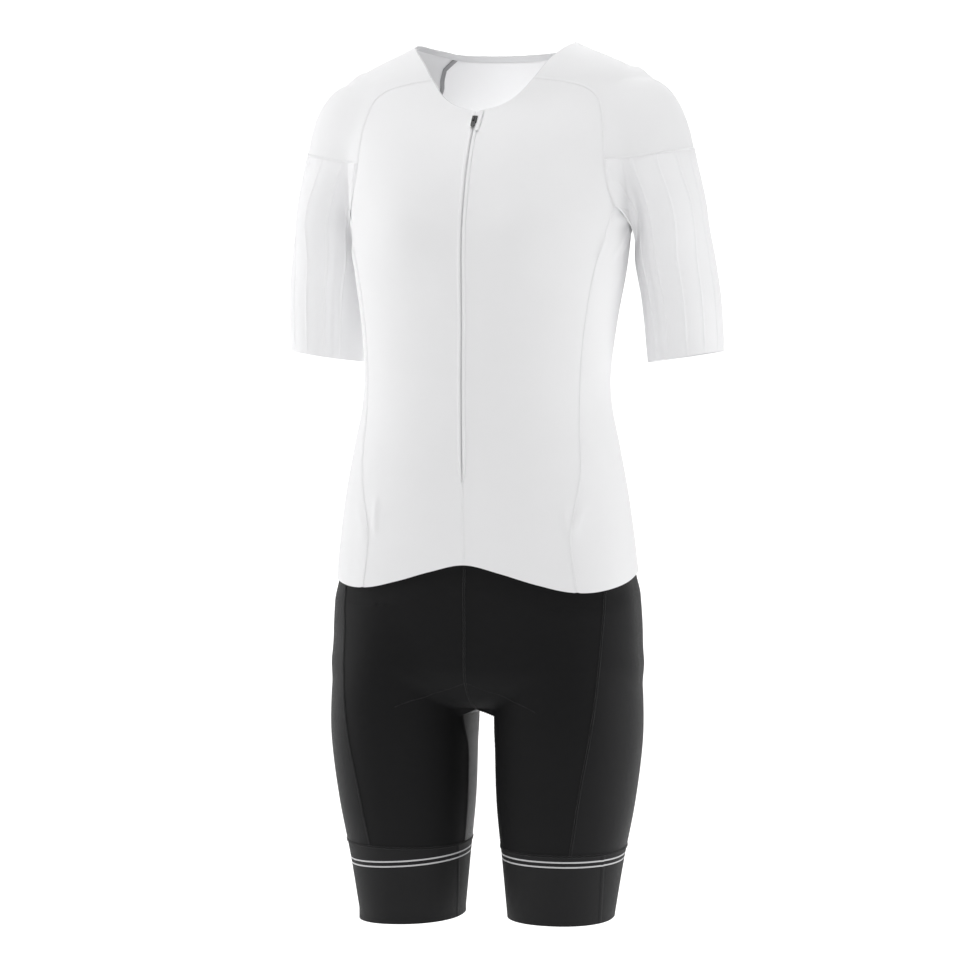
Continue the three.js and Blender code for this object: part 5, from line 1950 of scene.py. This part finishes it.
@dataclass
class LegBands:
    """The elastic bands at the leg hems, with two thin pale lines and one upright seam."""

    shop: Workshop
    wall: float = 1.2
    rows: int = 24
    columns: int = 220
    seam_samples: int = 40
    seam_over: float = 0.3
    seam: Profile = Profile.ridge(5.5, 0.6)
    cut: Cut = Cut(0.366, 0.073, 0.98)

    def build(self) -> None:
        """Makes both bands."""
        fig = self.shop.figure
        look = self.shop.finishes
        share = np.linspace(0, 1, self.rows + 1)[:, None]
        angle = 360 * np.arange(self.columns) / self.columns
        for side, way in BAND_SETS.items():
            z = lerp(BAND_TOP_Z, way.hem(angle)[None], share)
            grid = mirrored(fig.leg_point(np.broadcast_to(angle, z.shape), z), side)
            normals = fig.gradient(fig.whole, grid)
            thing = shell(f"leg_band_{side.word}_cloth", grid, normals, self.wall, True, look.band)
            shift_cut_map(thing.data, way.line_shift(angle), self.columns)
            self.shop.cloth(f"leg_band_{side.word}", "band_cloth", thing, self.cut)
            turn = np.linspace(*way.seam, self.seam_samples)
            low = float(way.hem(way.seam[1])) + self.seam_over
            height = np.linspace(BAND_TOP_Z, low, self.seam_samples)
            path = mirrored(fig.leg_point(turn, height), side)
            seam = strip(f"leg_band_{side.word}_seam", path, fig.gradient(fig.whole, path),
                         self.seam, look.band)
            for loop in seam.data.uv_layers["cut"].data:
                loop.uv[1] -= float(way.line_shift(np.mean(way.seam))) * MM
            self.shop.register(seam, "band_cloth")


def shift_cut_map(mesh: Any, drops: Array, columns: int) -> None:
    """Moves the cut's along coordinate by column, in millimetres, so that printed lines slant.

    Args:
        mesh: a closed wall.
        drops: how far each column's lines drop.
        columns: the wall's columns.
    """
    loops = loop_points(mesh)
    layer = mesh.uv_layers["cut"].data
    uv = np.empty(len(loops) * 2, np.float32)
    layer.foreach_get("uv", uv)
    uv = uv.reshape(-1, 2)
    uv[:, 1] -= drops[loops % columns] * MM
    layer.foreach_set("uv", uv.ravel())


@dataclass
class SeamWork:
    """The flat seams that join the panels: a low ridge with rows of thread over it."""

    shop: Workshop
    top_relief: Relief
    shorts_relief: Relief
    top_ridge: Profile = Profile.ridge(3.2, 0.5)
    shorts_ridge: Profile = Profile.ridge(3.2, 0.45)
    pitch: float = 2.6
    beside: float = 1.0
    thread_lift: float = 0.36
    thread_lean: float = 24.0
    thread: StitchTree = StitchTree()
    pad_thread: StitchTree = StitchTree(length=2.3, height=0.25, thread=0.15)
    pad_pitch: float = 3.4
    pad_lift: float = 0.1
    samples: int = 90
    band_samples: int = 160
    centre_samples: int = 60
    pad_front: Table = Table("x z", [
        [0, -616], [14, -622], [24, -625], [34, -628], [45, -633], [59, -637], [74, -643],
    ])
    pad_back: Table = Table("x z", [[0, -560], [20, -564], [38, -575], [52, -597], [60, -640]])

    def top_lines(self) -> list[Array]:
        """Every seam of the top: both halves, then the middle line under the zip.

        Returns:
            The seams as rows of points.
        """
        seams = self.shop.seams
        z = np.linspace(float(TOP_HEM.at(0)) + 2, ZIP_END_Z - 1, self.centre_samples)
        half = (seams.side_front, seams.side_back, seams.front_armhole, seams.back_armhole,
                seams.front_raglan, seams.back_raglan,
                seams.rib_seam(np.linspace(0, 1, self.samples)))
        middle = self.shop.figure.face_point(Face.FRONT, np.zeros(len(z)), z)
        return [*(mirrored(path, side) for side in Side for path in half), middle]

    def shorts_lines(self) -> list[Array]:
        """Every seam of the shorts: both halves, then the middle lines before and behind.

        Returns:
            The seams as rows of points.
        """
        seams = self.shop.seams
        rows = seams.pelvis_rows * FINE
        band = self.shop.figure.leg_point(np.linspace(0, 360, self.band_samples), BAND_TOP_Z)
        half = (seams.outer_front, seams.outer_back, seams.inner_front[rows:],
                seams.inner_back[rows:], band)
        return [*(mirrored(path, side) for side in Side for path in half),
                seams.inner_front[:rows + 1], seams.inner_back[:rows + 1]]

    def build(self) -> None:
        """Makes the ridges and the stitches of the top and of the shorts."""
        look = self.shop.finishes
        self.one_set("top_seams", self.top_lines(), self.top_relief.lift, self.top_ridge,
                     look.white, look.white_thread, "white_cloth")
        shorts = Shorts(self.shop, self.shorts_relief)
        self.one_set("shorts_seams", self.shorts_lines(),
                     lambda p: shorts.lift(p) + self.shorts_relief.lift(p), self.shorts_ridge,
                     look.black, look.black_thread, "black_cloth")
        self.pad_stitches(look.black_thread)

    def pad_stitches(self, thread: Any) -> None:
        """Makes the rows of thread that hold the seat pad, faint arcs before and behind.

        Args:
            thread: the stitches' material.
        """
        fig, stations = self.shop.figure, Stations()
        for face, table in ((Face.FRONT, self.pad_front), (Face.BACK, self.pad_back)):
            x = np.linspace(-table.last, table.last, self.samples)
            path = fig.shorts_point(face, x, table.at(np.abs(x)))
            normals = fig.gradient(fig.whole, path)
            path = path + normals * self.shorts_relief.lift(path)[:, None]
            stations.line(path, normals, self.pad_pitch, lift=self.pad_lift)
        self.shop.register(self.pad_thread.grow("pad_thread", stations, thread), "black_cloth")

    def one_set(self, name: str, lines: Sequence[Array], lift: Field, ridge: Profile, cloth: Any,
                thread: Any, slot: str) -> None:
        """Makes one set of seams.

        Args:
            name: the set's name.
            lines: the seams, on the figure.
            lift: how far the cloth lies off it.
            ridge: their cross section.
            cloth: the ridges' material.
            thread: the stitches' material.
            slot: the material slot of both.
        """
        fig = self.shop.figure
        ridges, stitches = [], Stations()
        for number, path in enumerate(lines):
            normals = fig.gradient(fig.whole, path)
            path = path + normals * lift(path)[:, None]
            ridges.append(strip(f"{name}_{number}", path, normals, ridge, cloth))
            for shift in (-self.beside, self.beside):
                stitches.line(path, normals, self.pitch, shift, self.thread_lift, self.thread_lean)
        self.shop.register(merge(name, ridges), slot)
        self.shop.register(self.thread.grow(name + "_thread", stitches, thread), slot)


@dataclass(frozen=True)
class Lamp:
    """One soft round light: where it stands and its width in metres, and its power in watts."""

    name: str
    place: tuple[float, float, float]
    width: float
    power: float


LAMPS = (
    Lamp("key", (-1.9, -1.7, 1.3), 1.2, 7.5),
    Lamp("front", (0.7, -2.7, 0.4), 1.4, 9.0),
    Lamp("top", (0.0, -0.8, 2.2), 1.6, 46.0),
    Lamp("top_back", (0.0, 1.2, 1.8), 1.4, 14.0),
    Lamp("rim_left", (-2.2, 0.1, -0.1), 1.4, 21.0),
    Lamp("rim_right", (2.1, 0.3, -0.4), 1.4, 17.0),
)


@dataclass(frozen=True)
class Studio:
    """The pale stage, the soft lights and the camera of the photograph."""

    pivot: tuple[float, float] = (0.0, -0.045)
    azimuth: float = 16.0
    distance: float = 3.0
    eye_height: float = -0.251
    focal_px: float = 2922.0
    frame_px: float = 960.0
    principal_px: tuple[float, float] = (486.2, 319.7)
    floor_z: float = -1.05
    sensor_mm: float = 36.0
    floor_glow: float = 1.24
    wall_glow: float = 0.7
    stage_front: float = -6.0
    stage_depth: float = 2.4
    stage_half: float = 5.0
    wall_height: float = 3.2
    bend: float = 0.9
    bend_steps: int = 15
    fill: float = 0.02
    aim: tuple[float, float, float] = (0.0, -0.03, -0.4)
    collar: Lamp = Lamp("collar", (0.25, -0.95, 0.42), 0.12, 22.0)
    collar_aim: tuple[float, float, float] = (0.0, 0.03, 0.0)
    collar_cone: float = 16.0
    collar_soft: float = 0.5
    inside: Lamp = Lamp("glow", (0.02, -0.02, -0.09), 0.03, 0.2)

    def camera(self) -> None:
        """Places the camera where the photograph was taken from."""
        a = math.radians(self.azimuth)
        right = Vector((math.cos(a), math.sin(a), 0))
        back = Vector((math.sin(a), -math.cos(a), 0))
        eye = Vector((*self.pivot, self.eye_height)) + back * self.distance
        middle = self.frame_px / 2
        across = (middle - self.principal_px[0]) / self.focal_px
        down = (middle - self.principal_px[1]) / self.focal_px
        way = -back + right * across - Vector((0, 0, down))
        data = bpy.data.cameras.new("camera")
        data.sensor_width = self.sensor_mm
        data.lens = self.focal_px / self.frame_px * self.sensor_mm
        bpy.context.scene.camera = place_object("camera", data, eye, way)

    def stage(self) -> None:
        """Makes the floor and the wall behind the suit, which a view from behind looks through."""
        bend, flat = self.bend, self.stage_depth - self.bend
        turns = np.linspace(0, math.pi / 2, self.bend_steps)
        curve = [(self.stage_front, 0.0),
                 *((flat + bend * math.sin(t), bend - bend * math.cos(t)) for t in turns),
                 (self.stage_depth, self.wall_height)]
        points = np.array([(x, y, self.floor_z + z) for y, z in curve
                           for x in (-self.stage_half, self.stage_half)])
        faces = [(2 * i, 2 * i + 1, 2 * i + 3, 2 * i + 2) for i in range(len(curve) - 1)]
        mesh = new_mesh("stage", points, faces)
        mesh.shade_smooth()
        material = bpy.data.materials.new("stage_paper")
        material.use_nodes = True
        graph = Graph(material.node_tree)
        seen = graph.add("ShaderNodeLightPath", out="Is Camera Ray")
        place = graph.add("ShaderNodeTexCoord", out="Object")
        far = graph.add("ShaderNodeSeparateXYZ", None, {0: place}, "Y")
        on_wall = far.math("GREATER_THAN", flat)
        glow = self.floor_glow - (1 - seen) * on_wall * (self.floor_glow - self.wall_glow)
        shader = graph.add("ShaderNodeBsdfPrincipled", None, {
            "Base Color": (0.05, 0.05, 0.05, 1), "Roughness": 0.9,
            "Emission Color": (1, 1, 1, 1), "Emission Strength": glow})
        behind = graph.add("ShaderNodeNewGeometry", out="Backfacing")
        clear = graph.add("ShaderNodeBsdfTransparent")
        paper = graph.add("ShaderNodeMixShader", None, {0: behind, 1: shader, 2: clear})
        graph.add("ShaderNodeOutputMaterial", None, {"Surface": paper})
        add_object("stage", mesh, material)

    @staticmethod
    def light(lamp: Lamp, kind: str, aim: tuple[float, float, float], **settings: Any) -> Any:
        """Places one light.

        Args:
            lamp: its place and power.
            kind: Blender's kind of light.
            aim: the point that it looks at.
            settings: the light's own settings.

        Returns:
            The light's object.
        """
        data = bpy.data.lights.new(lamp.name, kind)
        data.energy = lamp.power
        for name, value in settings.items():
            setattr(data, name, value)
        place = Vector(lamp.place)
        return place_object(lamp.name, data, place, Vector(aim) - place)

    def collar_light(self) -> None:
        """A narrow light through the neck to the inside of the back, and a faint one inside."""
        lamp = self.light(self.collar, "SPOT", self.collar_aim, spot_blend=self.collar_soft,
                          spot_size=math.radians(self.collar_cone),
                          shadow_soft_size=self.collar.width)
        lit = bpy.data.collections.new("collar_lit")
        for name in ("back_panel_cloth", "neck_binding_tape"):
            lit.objects.link(bpy.data.objects[name])
        lamp.light_linking.receiver_collection = lit
        self.light(self.inside, "POINT", self.aim, shadow_soft_size=self.inside.width)

    def build(self) -> None:
        """Sets the stage, the lights and the world."""
        self.stage()
        world = bpy.data.worlds.new("studio")
        world.use_nodes = True
        graph = Graph(world.node_tree)
        seen = graph.add("ShaderNodeLightPath", out="Is Camera Ray")
        sky = graph.add("ShaderNodeBackground", None,
                        {"Color": (1, 1, 1, 1), "Strength": seen * (1 - self.fill) + self.fill})
        graph.add("ShaderNodeOutputWorld", None, {"Surface": sky})
        scene = bpy.context.scene
        scene.world = world
        scene.view_settings.view_transform = "Standard"
        for lamp in LAMPS:
            self.light(lamp, "AREA", self.aim, shape="DISK", size=lamp.width)
        self.collar_light()


HIP_AND_ARMPIT_CREASES = (
    Crease(((-52, -431), (-53, -449), (-54, -468)), 2.2, 3.6),
    Crease(((-63, -440), (-60, -462), (-60, -480)), 1.3, 4.6),
    Crease(((54, -440), (56, -458), (57.5, -470)), 2.2, 3.6),
    Crease(((63, -436), (60, -455), (59, -472)), 1.6, 4.2),
    Crease(((72, -131), (82, -137), (93, -136)), 2.6, 3.6),
    Crease(((73, -149), (86, -149), (100, -143)), 2.8, 3.8),
    Crease(((91, -153), (83, -170), (75, -191)), 2.3, 3.8),
    Crease(((99, -147), (92, -163), (83, -183)), 2.0, 3.8),
    Crease(((68, -163), (66, -193)), 1.7, 4.0),
    Crease(((-73, -133), (-84, -139), (-96, -137)), 2.3, 3.8),
    Crease(((-74, -151), (-86, -156), (-101, -146)), 2.5, 4.0),
    Crease(((-92, -156), (-82, -173), (-76, -195)), 2.1, 4.0),
    Crease(((-68, -165), (-66, -190)), 1.5, 4.2),
)
BACK_CREASES = (
    Crease(((118, -140), (133, -152), (148, -158)), 2.0, 5.0),
    Crease(((-116, -142), (-131, -156), (-146, -160)), 2.1, 5.0),
    Crease(((112, -158), (124, -176), (136, -186)), 1.6, 5.5),
    Crease(((-114, -160), (-125, -180), (-139, -192)), 1.7, 5.5),
    Crease(((126, -318), (146, -333), (170, -338)), 2.2, 7.0),
    Crease(((-124, -322), (-147, -339), (-168, -342)), 2.0, 7.0),
    Crease(((120, -352), (140, -366), (160, -370)), 1.8, 7.5),
    Crease(((-122, -356), (-142, -368), (-164, -375)), 1.7, 7.5),
    Crease(((128, -452), (124, -472), (125, -488)), 1.0, 5.0),
    Crease(((-127, -450), (-124, -470), (-126, -487)), 1.0, 5.0),
)
SHORTS_CREASES = (
    Crease(((10, -640), (24, -622), (40, -604)), 0.8, 6.0),
    Crease(((-11, -642), (-25, -624), (-41, -605)), 0.8, 6.0),
    Crease(((168, -636), (154, -618), (138, -604)), 0.9, 7.0),
    Crease(((-167, -637), (-153, -620), (-137, -607)), 0.9, 7.0),
)
TOP_SWELLS = (
    Swell(70, -138, 3.0, 38, 36),
    Swell(58, -212, -1.6, 42, 30),
    Swell(45, -425, 1.6, 55, 42),
)


def main() -> None:
    """Builds the suit and the studio in order."""
    logging.basicConfig(level=logging.INFO, format="%(name)s %(message)s")
    studio = Studio()
    studio.camera()
    figure = Figure()
    shop = Workshop(figure, Seams(figure), Finishes())
    top = Relief(figure, HIP_AND_ARMPIT_CREASES + BACK_CREASES, TOP_SWELLS)
    black = Relief(figure, SHORTS_CREASES, soft=0.1)
    bodice = Bodice(shop, top)
    bodice.build()
    Sleeves(shop).build(bodice.side_grid()[-1])
    NeckTrim(shop).build()
    Zip(shop).build()
    Shorts(shop, black).build()
    LegBands(shop).build()
    SeamWork(shop, top, black).build()
    studio.build()


if __name__ == "__main__":
    main()
